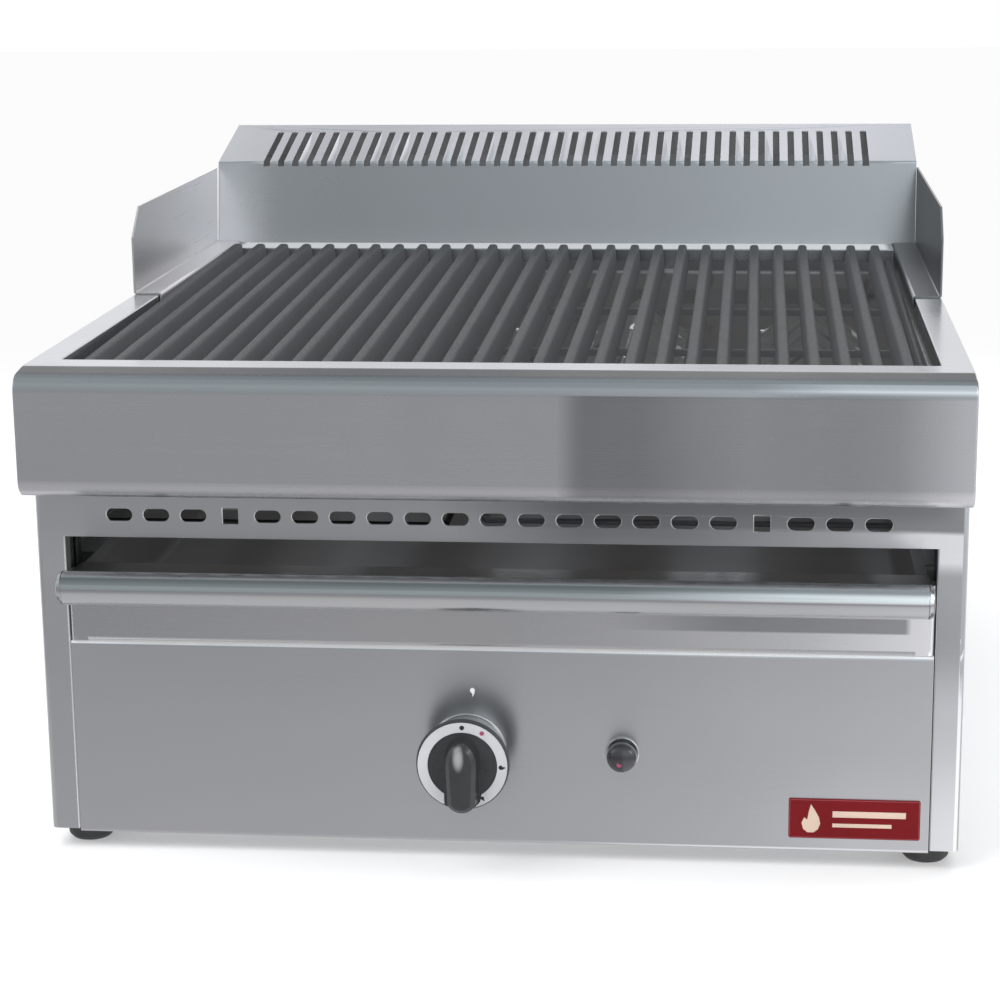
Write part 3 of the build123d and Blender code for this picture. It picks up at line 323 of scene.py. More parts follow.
def galvanised(name, base):
    """Zinc spangle: cells of slightly different tone and gloss."""
    t = Surface(name)
    cell = t.split(t.voronoi(95.0, out="Color"))[0]
    fine = t.noise(900.0)
    gain = t.remap(cell, span=(0.0, 1.0), to=(0.86, 1.10))
    t.set(color=t.tone(base, t.grey(gain)), metallic=1.0,
          rough=t.add(t.remap(cell, span=(0.0, 1.0), to=(0.34, 0.52)),
                      t.remap(fine, to=(-0.04, 0.04))),
          normal=t.bump(fine, strength=0.12, distance=0.0002, edge=0.0005))


def plastic(name, base, rough, grain=2600.0, bump=0.12, coat=0.0, painted_patch=None):
    """Moulded plastic; patch is a painted highlight (mask, colour, emission), and its mask then
    shapes the relief.
    """
    t = Surface(name)
    cloud = t.noise(45.0, detail=4.0)
    paler = tuple(min(1.0, x * 1.35 + 0.004) for x in base)
    color = t.mix(t.remap(cloud), base, paler)
    if painted_patch:
        mask, patch_color, patch_light = painted_patch
        relief = mask(t)
        color = t.mix(relief, color, patch_color)
        t.set(emit=t.mix(relief, 0.0, patch_light), emit_strength=1.0)
    else:
        relief = t.noise(grain)
    t.set(color=color, rough=t.add(rough, t.remap(cloud, to=(-0.05, 0.08))), coat=coat,
          coat_rough=0.12,
          normal=t.bump(relief, strength=bump, distance=0.0002, edge=0.0005))


def metal(name, base, rough, stain=None, scale=240.0):
    """Plain small metal parts with a mottled surface."""
    t = Surface(name)
    fine = t.noise(scale, detail=4.0, rough=0.6)
    cloud = t.noise(40.0, detail=3.0)
    color = t.mix(t.remap(cloud), base, stain or tuple(x * 0.82 for x in base))
    t.set(color=color, metallic=1.0, rough=t.add(rough, t.remap(fine, to=(-0.06, 0.10))),
          normal=t.bump(fine, strength=0.12, distance=0.0002, edge=0.0004))


def paint(name, base, rough, coat, peel=0.06, spec=0.5):
    """Paint or print; peel is the strength of its orange peel."""
    t = Surface(name)
    fine = t.noise(420.0)
    cloud = t.noise(30.0, detail=4.0)
    color = t.tone(base, t.grey(t.remap(cloud, to=(0.94, 1.05))))
    t.set(color=color, rough=t.add(rough, t.remap(fine, to=(-0.04, 0.06))), coat=coat,
          coat_rough=0.15, spec=spec,
          normal=t.bump(fine, strength=peel, distance=0.0003, edge=0.0003))


def cast_iron(name):
    """Seasoned casting: sand grain, shallow pits, rubbed crowns, oil sheen."""
    t = Surface(name)
    grit = t.noise(820.0, detail=4.0, rough=0.65)
    lump = t.noise((130.0, 60.0, 130.0), detail=4.0, rough=0.6)
    pit = t.voronoi(360.0, out="Distance")
    stain = t.noise((16.0, 10.0, 16.0), detail=5.0, rough=0.6, dist=0.6)
    crown = t.remap(t.normal()[2], span=(0.55, 0.97), smooth=True)
    rubbed = t.remap(t.weigh((lump, 0.6), (stain, 0.4)), span=(0.30, 0.62), to=(0.62, 1.0),
                     smooth=True)
    # rubbed crowns; the same mask also keeps the painted light of the flanks off the crowns
    wear_and_light = t.times(crown, rubbed)
    flank = t.mix(t.remap(stain, span=(0.35, 0.7)), (0.020, 0.021, 0.022), (0.032, 0.033, 0.034))
    color = t.mix(wear_and_light, flank, (0.022, 0.023, 0.024))
    color = t.mix(t.remap(pit, span=(0.0, 0.25), to=(0.30, 0.0)), color, 0.03)
    relief = t.weigh((grit, 0.6), (lump, 1.0), (t.remap(pit, span=(0.0, 0.3)), 0.25))
    # emission stands for light that wanders between the bars and keeps the flanks dark grey
    t.set(color=color, metallic=0.2,
          emit=t.mix(wear_and_light, (0.050, 0.053, 0.056), 0.006), emit_strength=1.0,
          rough=t.add(t.remap(wear_and_light, span=(0.0, 1.0), to=(0.62, 0.46)),
                      t.remap(grit, to=(-0.08, 0.12))),
          spec=t.remap(wear_and_light, span=(0.0, 1.0), to=(0.10, 0.20)),
          normal=t.bump(relief, strength=0.40, distance=0.0008))


def rubber(name):
    t = Surface(name)
    fine = t.noise(1300.0, detail=3.0)
    dust = t.noise(90.0, detail=5.0)
    color = t.mix(t.remap(dust, span=(0.45, 0.75), to=(0.0, 0.7)),
                  (0.050, 0.050, 0.053), (0.085, 0.083, 0.080))
    t.set(color=color, rough=t.remap(dust, to=(0.55, 0.80)), spec=0.35,
          normal=t.bump(fine, strength=0.3, distance=0.0003, edge=0.0008))


def ceramic(name):
    t = Surface(name)
    fine = t.noise(700.0, detail=3.0)
    stain = t.noise(120.0, detail=4.0)
    color = t.mix(t.remap(stain, span=(0.5, 0.75), to=(0.0, 0.6)),
                  (0.80, 0.77, 0.70), (0.42, 0.34, 0.26))
    t.set(color=color, rough=0.35, coat=0.3,
          normal=t.bump(fine, strength=0.1, distance=0.0002))


# ------------------------------------------------------------------ painted reflections of a studio
# Gains of painted reflection in rows (height of the mirror direction, [(x of the direction,
# gain), ...]),
# from low to high and from the left of the front to the right.
NOTCH = [(-0.30, 1.00), (-0.078, 1.00), (-0.069, 0.57), (-0.045, 0.56), (-0.022, 0.70),
         (0.0, 0.76), (0.02, 0.70), (0.04, 0.64), (0.058, 0.66), (0.085, 1.0)]
WORKTOP_ROWS = [
    (-0.10, NOTCH),
    (0.01, [(x, gain * 0.90) for x, gain in NOTCH]),
    (0.10, [(-0.3, 0.84), (-0.1, 0.90), (0.0, 0.98), (0.03, 0.62), (0.1, 0.75)]),
    (0.25, [(-0.3, 0.80), (-0.1, 0.85), (0.0, 0.95), (0.04, 0.62), (0.1, 0.80)]),
    (0.45, [(-0.3, 0.80), (-0.1, 0.86), (0.0, 0.95), (0.04, 0.95), (0.1, 1.10)]),
    (0.65, [(-0.3, 0.85), (-0.1, 0.90), (0.0, 0.98), (0.04, 1.60), (0.1, 1.70)]),
    (0.88, [(-0.3, 0.80), (-0.1, 0.80), (0.0, 0.85), (0.04, 1.40), (0.1, 1.50)])]
PANEL_ROWS = [
    (-0.36, [(-0.30, 1.12), (0.0, 1.18), (0.04, 1.26), (0.08, 1.15)]),
    (-0.325, [(-0.30, 1.08), (0.0, 1.12), (0.08, 1.02)]),
    (-0.29, [(-0.30, 1.02), (0.0, 1.06), (0.08, 0.95)])]
RAIL_ROWS = [
    (-0.36, [(-0.30, 1.15), (-0.06, 1.1), (0.05, 1.3), (0.070, 1.70), (0.10, 1.80)]),
    (-0.315, [(-0.30, 1.10), (-0.06, 1.08), (0.05, 1.1), (0.072, 1.25), (0.10, 1.25)]),
    (-0.285, [(-0.30, 1.05), (-0.06, 1.05), (0.05, 0.9), (0.072, 0.80), (0.10, 0.88)]),
    (-0.262, [(-0.30, 1.08), (-0.06, 1.0), (0.05, 0.92), (0.072, 0.88), (0.10, 0.92)]),
    (-0.253, [(-0.30, 1.12), (-0.11, 1.12), (-0.068, 0.76), (-0.03, 0.78), (0.03, 1.05),
              (0.060, 1.20), (0.072, 2.0)]),
    (-0.246, [(-0.30, 1.10), (-0.12, 1.06), (-0.068, 0.58), (-0.03, 0.61), (0.03, 0.95),
              (0.055, 1.25), (0.066, 1.9)]),
    (-0.2435, [(-0.30, 1.08), (-0.12, 1.03), (-0.068, 0.48), (-0.03, 0.52), (0.03, 0.58),
               (0.085, 0.62), (0.10, 0.70)]),
    (-0.236, [(-0.30, 1.05), (-0.13, 1.0), (-0.068, 0.40), (-0.03, 0.44), (0.05, 0.47),
              (0.075, 0.50), (0.10, 0.9)])]
DRAWER_ROWS = [
    (-0.28, [(-0.30, 0.88), (-0.18, 1.0), (-0.10, 0.98), (-0.05, 1.05), (0.02, 1.25),
             (0.05, 1.5), (0.08, 1.7)]),
    (-0.20, [(-0.30, 0.88), (-0.18, 1.0), (-0.05, 1.05), (0.02, 1.25), (0.05, 1.5),
             (0.08, 1.7)])]
HOOD_ROWS = [
    (0.0, [(-0.26, 1.25), (-0.205, 1.25), (-0.19, 0.68), (-0.16, 0.64), (-0.10, 0.76),
           (0.0, 0.98), (0.05, 0.88), (0.1, 0.85)]),
    (0.6, [(-0.30, 0.95), (0.10, 1.05)])]
HANDLE_ROWS = [
    (-0.16, [(-0.30, 0.98), (-0.05, 0.98), (0.02, 0.85), (0.10, 0.80)]),
    (0.02, [(-0.30, 0.80), (-0.10, 0.80), (-0.03, 1.05), (0.02, 1.70), (0.10, 1.80)]),
    (0.40, [(-0.30, 0.72), (-0.06, 0.75), (0.0, 1.25), (0.10, 1.65)]),
    (0.65, [(-0.30, 0.50), (-0.05, 0.55), (0.02, 1.55), (0.10, 1.80)]),
    (0.95, [(-0.30, 0.40), (-0.05, 0.42), (0.02, 0.80), (0.10, 0.95)])]
# (height of the mirror direction, gain of painted reflection) to the rear
WORKTOP_BACK = [(-1.0, 1.0), (0.30, 1.0), (0.36, 0.14), (0.50, 0.12), (0.74, 0.40),
                (0.95, 0.62), (1.0, 0.62)]


# ------------------------------------------------------------------ zones of painted light and shade on the sheet metal
def rise(axis, start, end, level=1.0, smooth=False):
    """Fade from 0 at start to level at end.

    axis: x, y, z in metres or nx, ny, nz of the surface normal; bars take the size only.
    """
    return axis, (start, end), (0.0, level), smooth


def fall(axis, start, end, level=1.0, smooth=False):
    """Fade from level at start to 0 at end."""
    return axis, (start, end), (level, 0.0), smooth


def zone(*fades):
    """Mask function: the product of the fades."""
    def mask(t):
        sources = {}
        factors = []
        for axis, span, to, smooth in fades:
            letters = axis.strip("|")
            kind = "normal" if letters[0] == "n" else "position"
            if kind not in sources:
                sources[kind] = getattr(t, kind)()
            value = sources[kind]["xyz".index(letters[-1])]
            if axis != letters:
                value = t.math("ABSOLUTE", value)
            factors.append(t.remap(value, span, to, smooth))
        return t.times(*factors)
    return mask


GUARD_MIN, GUARD_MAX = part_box("left_splash_guard")
FRONT_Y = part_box("front_frame")[0][1]
HOOD_REAR_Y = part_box("flue_hood")[1][1]
_, TOP_FRONT_Y, TOP_LOW_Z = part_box("top_frame")[0]

INSIDE_FRAME = fall("|x|", 0.286, 0.288)
UPWARD = {"axis": "nz", "start": 0.8, "end": 0.97, "smooth": True}

# painted highlight, bright and with emission, on the side walls of the slots and of the opening
# close to the front face
edge_highlight = zone(rise("|nx|", 0.55, 0.85, level=0.9, smooth=True), INSIDE_FRAME,
                fall("y", FRONT_Y + 0.0022, FRONT_Y + 0.0032))
# painted shade with a faint emission of painted light on the returns folded inwards around the
# opening, away from the light
return_shade = zone(INSIDE_FRAME, rise("y", FRONT_Y + 0.0026, FRONT_Y + 0.0036))
# painted highlight, bright and with emission, on upward edges of the control panel
panel_edge_highlight = zone(rise("nz", 0.25, 0.6, level=0.8, smooth=True))
# painted highlight, bright and with emission, on upward faces of the rear rim, between the sides
rear_rim_highlight = zone(rise(**UPWARD), rise("y", 0.150, 0.200), fall("|x|", 0.272, 0.276))
# painted shade on the front rim right of the middle, as if turned a little away from the bright
# wall behind
front_shade = zone(rise(**UPWARD, level=0.75), rise("x", 0.06, 0.15, smooth=True),
                   fall("y", -0.318, -0.312), fall("x", 0.268, 0.280),
                   rise("y", -0.346, -0.342))
# painted reflection of the tube handle in the drawer front, right of the middle
handle_mirror = zone(rise("x", 0.06, 0.16, level=0.85, smooth=True), fall("x", 0.262, 0.266),
                     rise("z", 0.1590, 0.1602), fall("z", 0.1690, 0.1715),
                     fall("ny", -0.9, -0.8))
# painted shade with a faint emission of painted light on the inner side of the hood's rear wall,
# seen down through the slots
flue_wall_shade = zone(fall("ny", -0.9, -0.7), rise("y", HOOD_REAR_Y - 0.006, HOOD_REAR_Y - 0.004))
# painted shade with a faint emission of painted light on the side walls of the slots in the top
# of the hood
slot_wall_shade = zone(rise("|nx|", 0.6, 0.8, level=0.85), rise("z", 0.380, 0.382),
                  fall("|x|", 0.285, 0.287))
# painted highlight with a little emission on the rolled lower edge of the apron
lip_highlight = zone(fall("y", TOP_FRONT_Y + 0.004, TOP_FRONT_Y + 0.006),
               fall("z", TOP_LOW_Z + 0.0035, TOP_LOW_Z + 0.0062, level=0.75, smooth=True))
# painted shade with a faint emission of painted light on front-facing walls below the rim, at the
# rear
under_top_shade = zone(fall("z", 0.300, 0.302), rise("y", 0.300, 0.310), fall("ny", -0.6, -0.4))
# painted highlight with a little emission on upward faces of the right guard
guard_top_highlight = zone(rise(**UPWARD))

GRIP_X, GRIP_Z = -0.0199, 0.0850                    # centre of the oval of painted highlight
GRIP_HALF_WIDTH, GRIP_HALF_HEIGHT = 0.0042, 0.0105


def grip_highlight(t):
    """Painted highlight: a lighter oval with emission high on the grip."""
    x, y, z = t.position()
    across = t.math("DIVIDE", t.math("SUBTRACT", x, GRIP_X), GRIP_HALF_WIDTH)
    up = t.math("DIVIDE", t.math("SUBTRACT", z, GRIP_Z), GRIP_HALF_HEIGHT)
    radius = t.add(t.times(across, across), t.times(up, up))
    return t.times(t.remap(radius, span=(-0.2, 1.0), to=(1.0, 0.0), smooth=True),
                   t.remap(y, span=(-0.3745, -0.3730), to=(1.0, 0.0)))


# ------------------------------------------------------------------ materials of the parts
SHEET = {"bump": 0.002, "tone": 0.009}      # faint relief and tone of polished sheet
TURNED = {"tone": 0.02, "seed": 33.0}

# front and back rows paint reflections, and glints paint highlights and shade, into the sheet
# colours below
steel("worktop_steel", base=(0.60, 0.602, 0.622), rough=0.26, aniso=0.85, seed=1.3, **SHEET,
      front=WORKTOP_ROWS, back=WORKTOP_BACK,
      painted_zones=[(front_shade, (0.34, 0.34, 0.35), 0.0),
              (lip_highlight, (0.80, 0.80, 0.81), 0.03),
              (rear_rim_highlight, (0.7, 0.7, 0.71), (0.34, 0.34, 0.345)),
              (under_top_shade, 0.20, (0.045, 0.046, 0.047))])
steel("hood_steel", base=(0.60, 0.597, 0.617), rough=0.24, aniso=0.85, seed=4.1, **SHEET,
      front=HOOD_ROWS, back=[(-1.0, 1.0), (1.0, 1.0)],
      painted_zones=[(flue_wall_shade, 0.20, (0.062, 0.063, 0.065)),
              (slot_wall_shade, (0.26, 0.26, 0.27), (0.045, 0.046, 0.048))])
# painted shade: the guard steel darker towards the front and towards the bottom
steel("guard_steel", base=(0.74, 0.725, 0.745), rough=0.28, grain="Y", seed=7.7, bump=0.003,
      tone=0.015, metallic=0.62,
      shade_sweep=(((GUARD_MIN[1], GUARD_MAX[1]), (0.62, 1.10)),
             ((GUARD_MIN[2], GUARD_MAX[2]), (0.90, 1.0))))
steel("casing_steel", base=(0.57, 0.575, 0.59), rough=0.28, aniso=0.8, seed=9.2, **SHEET,
      front=RAIL_ROWS,
      painted_zones=[(edge_highlight, (0.92, 0.92, 0.93), 0.42),
              (return_shade, 0.10, (0.040, 0.041, 0.042))])
steel("panel_steel", base=(0.60, 0.602, 0.618), rough=0.28, aniso=0.8, seed=12.9, **SHEET,
      front=PANEL_ROWS, painted_zones=[(panel_edge_highlight, (0.92, 0.92, 0.93), 0.35)])
steel("drawer_steel", base=(0.60, 0.602, 0.614), rough=0.27, aniso=0.6, seed=17.4, **SHEET,
      front=DRAWER_ROWS, painted_zones=[(handle_mirror, (0.32, 0.32, 0.33), 0.0)])
steel("handle_steel", base=(0.66, 0.67, 0.68), rough=0.20, aniso=0.5, tone=0.03, bump=0.03,
      seed=21.0, front=HANDLE_ROWS)
# emission on the tray and on the heated sheets below is painted light
steel("tray_steel", base=(0.26, 0.26, 0.27), rough=0.36, seed=25.5, smudge=0.14, metallic=0.7,
      painted_glow=0.050)
heated("inner_steel", base=(0.26, 0.264, 0.27), rough=0.38, tint=0.15, painted_glow=0.19)
heated("burner_steel", base=(0.40, 0.39, 0.38), rough=0.32, tint=0.5, painted_glow=0.12)
galvanised("galvanised", base=(0.52, 0.54, 0.55))
cast_iron("grate_iron")
# painted highlight, lighter and with emission, on the grip
plastic("knob_black", base=(0.020, 0.021, 0.022), rough=0.30, bump=0.05, coat=0.25,
        painted_patch=(grip_highlight, (0.16, 0.165, 0.165), (0.20, 0.205, 0.205)))
paint("dial_silver", base=(0.50, 0.505, 0.515), rough=0.40, coat=0.1)
plastic("button_black", base=(0.014, 0.014, 0.016), rough=0.16, bump=0.02, coat=0.8)
steel("bezel_chrome", base=(0.52, 0.51, 0.52), rough=0.22, aniso=0.3, tone=0.02, bump=0.03,
      seed=30.0)
paint("badge_red", base=(0.165, 0.008, 0.011), rough=0.42, coat=0.0, peel=0.02, spec=0.12)
rubber("foot_rubber")
metal("brass", base=(0.68, 0.50, 0.24), rough=0.30, stain=(0.48, 0.34, 0.17))
metal("pipe_steel", base=(0.26, 0.255, 0.24), rough=0.42, stain=(0.20, 0.19, 0.18))
metal("pilot_aluminium", base=(0.74, 0.74, 0.76), rough=0.30)
metal("copper_lead", base=(0.15, 0.10, 0.08), rough=0.45, stain=(0.10, 0.07, 0.06))
ceramic("electrode_ceramic")
plastic("lead_silicone", base=(0.09, 0.09, 0.10), rough=0.55, grain=1500.0)
plastic("piezo_black", base=(0.02, 0.02, 0.022), rough=0.25, coat=0.3)
metal("fastener_zinc", base=(0.66, 0.66, 0.62), rough=0.34, stain=(0.56, 0.55, 0.48),
      scale=600.0)
heated("deflector_steel", base=(0.26, 0.264, 0.27), rough=0.34, tint=0.15, painted_glow=0.19,
       ridge=True)
heated("flue_dark", base=(0.30, 0.31, 0.32), rough=0.5, tint=0.03, painted_glow=0.20)
steel("igniter_ring", base=(0.66, 0.66, 0.67), rough=0.25, aniso=0.2, bump=0.02, **TURNED)
# painted shade: a darker copy of the guard steel for the right guard
steel("guard_shade", base=(0.31, 0.32, 0.33), rough=0.30, grain="Y", seed=8.8, bump=0.003,
      tone=0.012, edge_tint=0.45, painted_zones=[(guard_top_highlight, (0.50, 0.51, 0.52), 0.02)])
steel("cap_steel", base=(0.62, 0.63, 0.64), rough=0.24, aniso=0.3, tone=0.02, bump=0.02,
      seed=22.0, front=HANDLE_ROWS, back=[(-1.0, 0.35), (1.0, 0.35)])
metal("old_tube", base=(0.10, 0.10, 0.10), rough=0.55, stain=(0.07, 0.065, 0.06))

# pieces whose material differs from the one of their slot
OWN_MATERIAL = {"right_splash_guard": "guard_shade", "flue_baffle": "flue_dark",
                "piezo_igniter": "igniter_ring", "handle_end_caps": "cap_steel",
                "pilot_tube": "old_tube", "thermocouple": "old_tube"}
OWN_MATERIAL.update({f"deflector_{i}": "deflector_steel" for i in range(1, 5)})


def assign_materials():
    slots = {part["node"]: part["material_slot"] for part in frame["record"]["subparts"]}
    for name, piece in NODES.items():
        piece.data.materials.clear()
        piece.data.materials.append(MATERIALS[OWN_MATERIAL.get(name, slots[name])])
        for face in piece.data.polygons:
            face.material_index = 0


# bevel width of sheet edges, mm
SHEET_BEVELS = {"front_frame": 0.35, "flue_hood": 0.35, "left_splash_guard": 0.3,
                "right_splash_guard": 0.3, "control_panel": 0.3, "drawer_front": 0.3}


def soften_sheet_edges():
    for name, width in SHEET_BEVELS.items():
        weld = NODES[name].modifiers.new("weld", "WELD")
        weld.merge_threshold = 0.00001
        bevel = NODES[name].modifiers.new("edge", "BEVEL")
        bevel.width = width * MM
        bevel.segments = 2
        bevel.limit_method = "ANGLE"
        bevel.angle_limit = math.radians(50)
        bevel.use_clamp_overlap = True


assign_materials()
soften_sheet_edges()


# ------------------------------------------------------------------ mesh helpers
def add_object(name, data):
    new = bpy.data.objects.new(name, data)
    bpy.context.scene.collection.objects.link(new)
    return new


def new_piece(name, bm, material, body, smooth):
    """Finish a mesh as an object that rides on a CAD body."""
    bmesh.ops.recalc_face_normals(bm, faces=bm.faces)
    mesh = bpy.data.meshes.new(name)
    bm.normal_update()
    bm.to_mesh(mesh)
    bm.free()
    piece = add_object(name, mesh)
    mesh.materials.append(MATERIALS[material])
    for face in mesh.polygons:
        face.use_smooth = smooth
    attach(piece, body)
    return piece


def skin(bm, rings):
    """Closed skin over a row of equal rings, with both ends capped."""
    count = len(rings[0])
    for ring, following in zip(rings, rings[1:]):
        for i in range(count):
            j = (i + 1) % count
            bm.faces.new((ring[i], ring[j], following[j], following[i]))
    bm.faces.new(list(reversed(rings[0])))
    bm.faces.new(rings[-1])


# ------------------------------------------------------------------ cast grates
# crown plane of the bars, mm: it climbs from front to rear
GRATE_FRONT, GRATE_REAR = 48.0, 578.5
CROWN_FRONT, CROWN_REAR = -7.0, 5.0
TILT = math.atan2(CROWN_REAR - CROWN_FRONT, GRATE_REAR - GRATE_FRONT)
BAR_LENGTH = (GRATE_REAR - GRATE_FRONT) / math.cos(TILT)
BAR_PITCH, FIRST_BAR_X = 19.84, -272.9
# half section of a bar: (half width, depth below the crown plane)
BAR_SIDE = [(0.9, 0.02), (1.9, 0.12), (2.7, 0.42), (3.2, 0.95), (3.5, 1.8), (3.75, 3.4),
            (4.1, 7.0), (4.7, 13.0), (5.35, 19.9)]
BAR_DEPTH = BAR_SIDE[-1][1]
DEEPEST = 19.95                 # limit for uneven bar bottoms
# stations from a bar end, and the even stations between the ends
END_STATIONS = [0.25, 0.9, 2.2, 4.4, 7.5]
EVEN_STATIONS, EVEN_MARGIN = 66, 10.0
# rounding of the bar ends: reach, drop of the crown, share of the width lost
END_REACH, END_DROP, END_PINCH = 8.0, 6.5, 0.42
# unevenness of the casting: share of the width, the rest in mm
WIDTH_WAVE, SWAY, CROWN_DROP, CROWN_WAVE, RIB_WAVE = 0.045, 0.16, 0.12, 0.10, 0.12
# (name, first bar, bar after the last)
GRATES = [("grate_left", 0, 10), ("grate_centre", 10, 19), ("grate_right", 19, 28)]
# cross ribs: (front edge, top depth, height, width)
RIBS = [(GRATE_FRONT + 1.2, 10.5, 9.2, 7.6), (GRATE_REAR - 15.0, 13.2, 6.6, 7.6),
        (200.2, 15.0, 4.8, 5.4), (355.2, 15.0, 4.8, 5.4)]
RIB_ROUND = 0.9


def wave(a, b, c):
    return noise.noise(Vector((a, b, c)))


def grate_point(x, run, drop):
    """Point run mm along the slope and drop mm below the crown plane."""
    return apron_point(x, GRATE_FRONT + run * math.cos(TILT) + drop * math.sin(TILT),
                       CROWN_FRONT + run * math.sin(TILT) - drop * math.cos(TILT))


def cast_bar(bm, x, index):
    step_span = BAR_LENGTH - 2 * EVEN_MARGIN
    stations = END_STATIONS + [EVEN_MARGIN + step_span * i / (EVEN_STATIONS - 1)
                               for i in range(EVEN_STATIONS)]
    stations += [BAR_LENGTH - run for run in reversed(END_STATIONS)]
    rings = []
    for run in stations:
        nearness = max(0.0, 1.0 - min(run, BAR_LENGTH - run) / END_REACH)
        rounding = 1.0 - math.sqrt(max(0.0, 1.0 - nearness * nearness))
        pinch = 1.0 - END_PINCH * rounding
        ring = []
        for side in (1, -1):
            for half, depth in BAR_SIDE[::side]:
                low = depth / BAR_DEPTH
                width = half * pinch * (1.0 + WIDTH_WAVE * wave(run * 0.045, index * 3.7,
                                                                side * 2.0 + low))
                width = min(width, half)
                sway = SWAY * wave(run * 0.018, index * 1.9, 8.0) * (1.0 - low)
                sink = END_DROP * rounding + CROWN_DROP
                sink += CROWN_WAVE * wave(run * 0.06, index * 2.3, half * 0.4)
                drop = min(depth + (1.0 - low) * sink, DEEPEST)
                ring.append(bm.verts.new(grate_point(x + side * width + sway, run, drop)))
        rings.append(ring)
    skin(bm, rings)


def soft_block(bm, x0, x1, y0, y1, top, bottom):
    """Rib with rounded long edges; top and bottom are depths below the crown plane."""
    near, far = y0 + RIB_ROUND, y1 - RIB_ROUND
    high, low = top + RIB_ROUND, bottom - RIB_ROUND
    section = []
    for quarter, (y, z) in enumerate(((far, high), (near, high), (near, low), (far, low))):
        for i in range(4):
            angle = math.radians(quarter * 90 + i * 30)
            section.append((y + RIB_ROUND * math.cos(angle), z - RIB_ROUND * math.sin(angle)))
    steps = max(2, int((x1 - x0) / 6))
    rings = []
    for i in range(steps + 1):
        x = x0 + (x1 - x0) * i / steps
        rings.append([bm.verts.new(grate_point(x, (y - GRATE_FRONT) / math.cos(TILT),
                                               z + RIB_WAVE * wave(x * 0.09, y, z * 0.2)))
                      for y, z in section])
    skin(bm, rings)


def build_grates():
    for name, first, end in GRATES:
        bm = bmesh.new()
        for i in range(first, end):
            cast_bar(bm, FIRST_BAR_X + i * BAR_PITCH, i)
        left = FIRST_BAR_X + first * BAR_PITCH
        right = FIRST_BAR_X + (end - 1) * BAR_PITCH
        for y, top, height, width in RIBS:
            soft_block(bm, left, right, y, y + width, top, top + height)
        if name == "grate_right":
            # lengthwise strip along the right side
            soft_block(bm, 272.0, 276.8, GRATE_FRONT + 1.5, GRATE_REAR - 8.0, 11.2, 19.8)
        grate = new_piece("cast_" + name, bm, "grate_iron", name, smooth=True)
        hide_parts(name)


build_grates()

# ------------------------------------------------------------------ printed marks
# All in mm from the apron; outlines are (x, z) points.
KNOB_X, CONTROL_Z, IGNITER_X = -18.5, -255.0, 82.5
MARK_RADIUS = 25.7                      # of the marks around the knob
SEAT = 0.05                             # plates stand this far off the face behind them
DIAL_FACE = 3.6 - SEAT - 0.6            # front of the dial ring
BUTTON_FACE = 19.86
PANEL_FACE = 35.0
BADGE_X, BADGE_Z = 232.7, -296.4
BADGE_FACE = PANEL_FACE - SEAT - 0.9
RIM_HALF_WIDTH, RIM_HALF_HEIGHT, RIM_LINE = 84.5 / 2 - 0.5, 13.5 - 0.5, 0.45
# flame outline as shares of its width and height
FLAME = [(0.0, 0.52), (0.20, 0.30), (0.38, 0.05), (0.44, -0.18), (0.34, -0.38), (0.14, -0.50),
         (-0.14, -0.50), (-0.34, -0.38), (-0.42, -0.16), (-0.30, 0.04), (-0.16, -0.04),
         (-0.10, 0.22)]
# index mark outline around its own centre
INDEX_X, INDEX_Z = KNOB_X + 3.4, CONTROL_Z + 39.2
INDEX = [(-0.2, 3.3), (1.1, 2.7), (1.7, 1.2), (1.3, -0.6), (0.4, -2.8), (-0.1, -3.0),
         (0.1, -1.2), (-0.7, -0.2), (-1.5, 0.9), (-1.4, 2.3)]

paint("print_cream", base=(0.66, 0.50, 0.40), rough=0.4, coat=0.1)
paint("print_rim", base=(0.30, 0.05, 0.06), rough=0.35, coat=0.2)
plastic("print_black", base=(0.010, 0.010, 0.011), rough=0.5)
paint("print_red", base=(0.30, 0.05, 0.10), rough=0.4, coat=0.1)
paint("print_white", base=(0.86, 0.86, 0.84), rough=0.45, coat=0.1)


def disc(x, z, radius, count=28):
    angles = [2 * math.pi * i / count for i in range(count)]
    return [(x + radius * math.cos(angle), z + radius * math.sin(angle)) for angle in angles]


def flame(x, z, height, width, turn=0.0):
    cos, sin = math.cos(math.radians(turn)), math.sin(math.radians(turn))
    sized = [(a * width, b * height) for a, b in FLAME]
    return [(x + a * cos - b * sin, z + a * sin + b * cos) for a, b in sized]


def badge_bar(x0, x1, z0, z1):
    """Rectangle placed from the badge centre."""
    return [(BADGE_X + x, BADGE_Z + z) for x, z in ((x0, z0), (x1, z0), (x1, z1), (x0, z1))]


def on_dial(degrees):
    """Place on the dial ring, clockwise from the top."""
    angle = math.radians(degrees)
    return KNOB_X + MARK_RADIUS * math.sin(angle), CONTROL_Z + MARK_RADIUS * math.cos(angle)


def raised_print(name, outlines, face, proud, material, body):
    """Closed outlines standing proud of the plane at depth face, rooted a little behind it."""
    bm = bmesh.new()
    for outline in outlines:
        skin(bm, [[bm.verts.new(apron_point(x, depth, z)) for x, z in outline]
                  for depth in (face + 0.15, face - proud)])
    new_piece(name, bm, material, body, smooth=False)


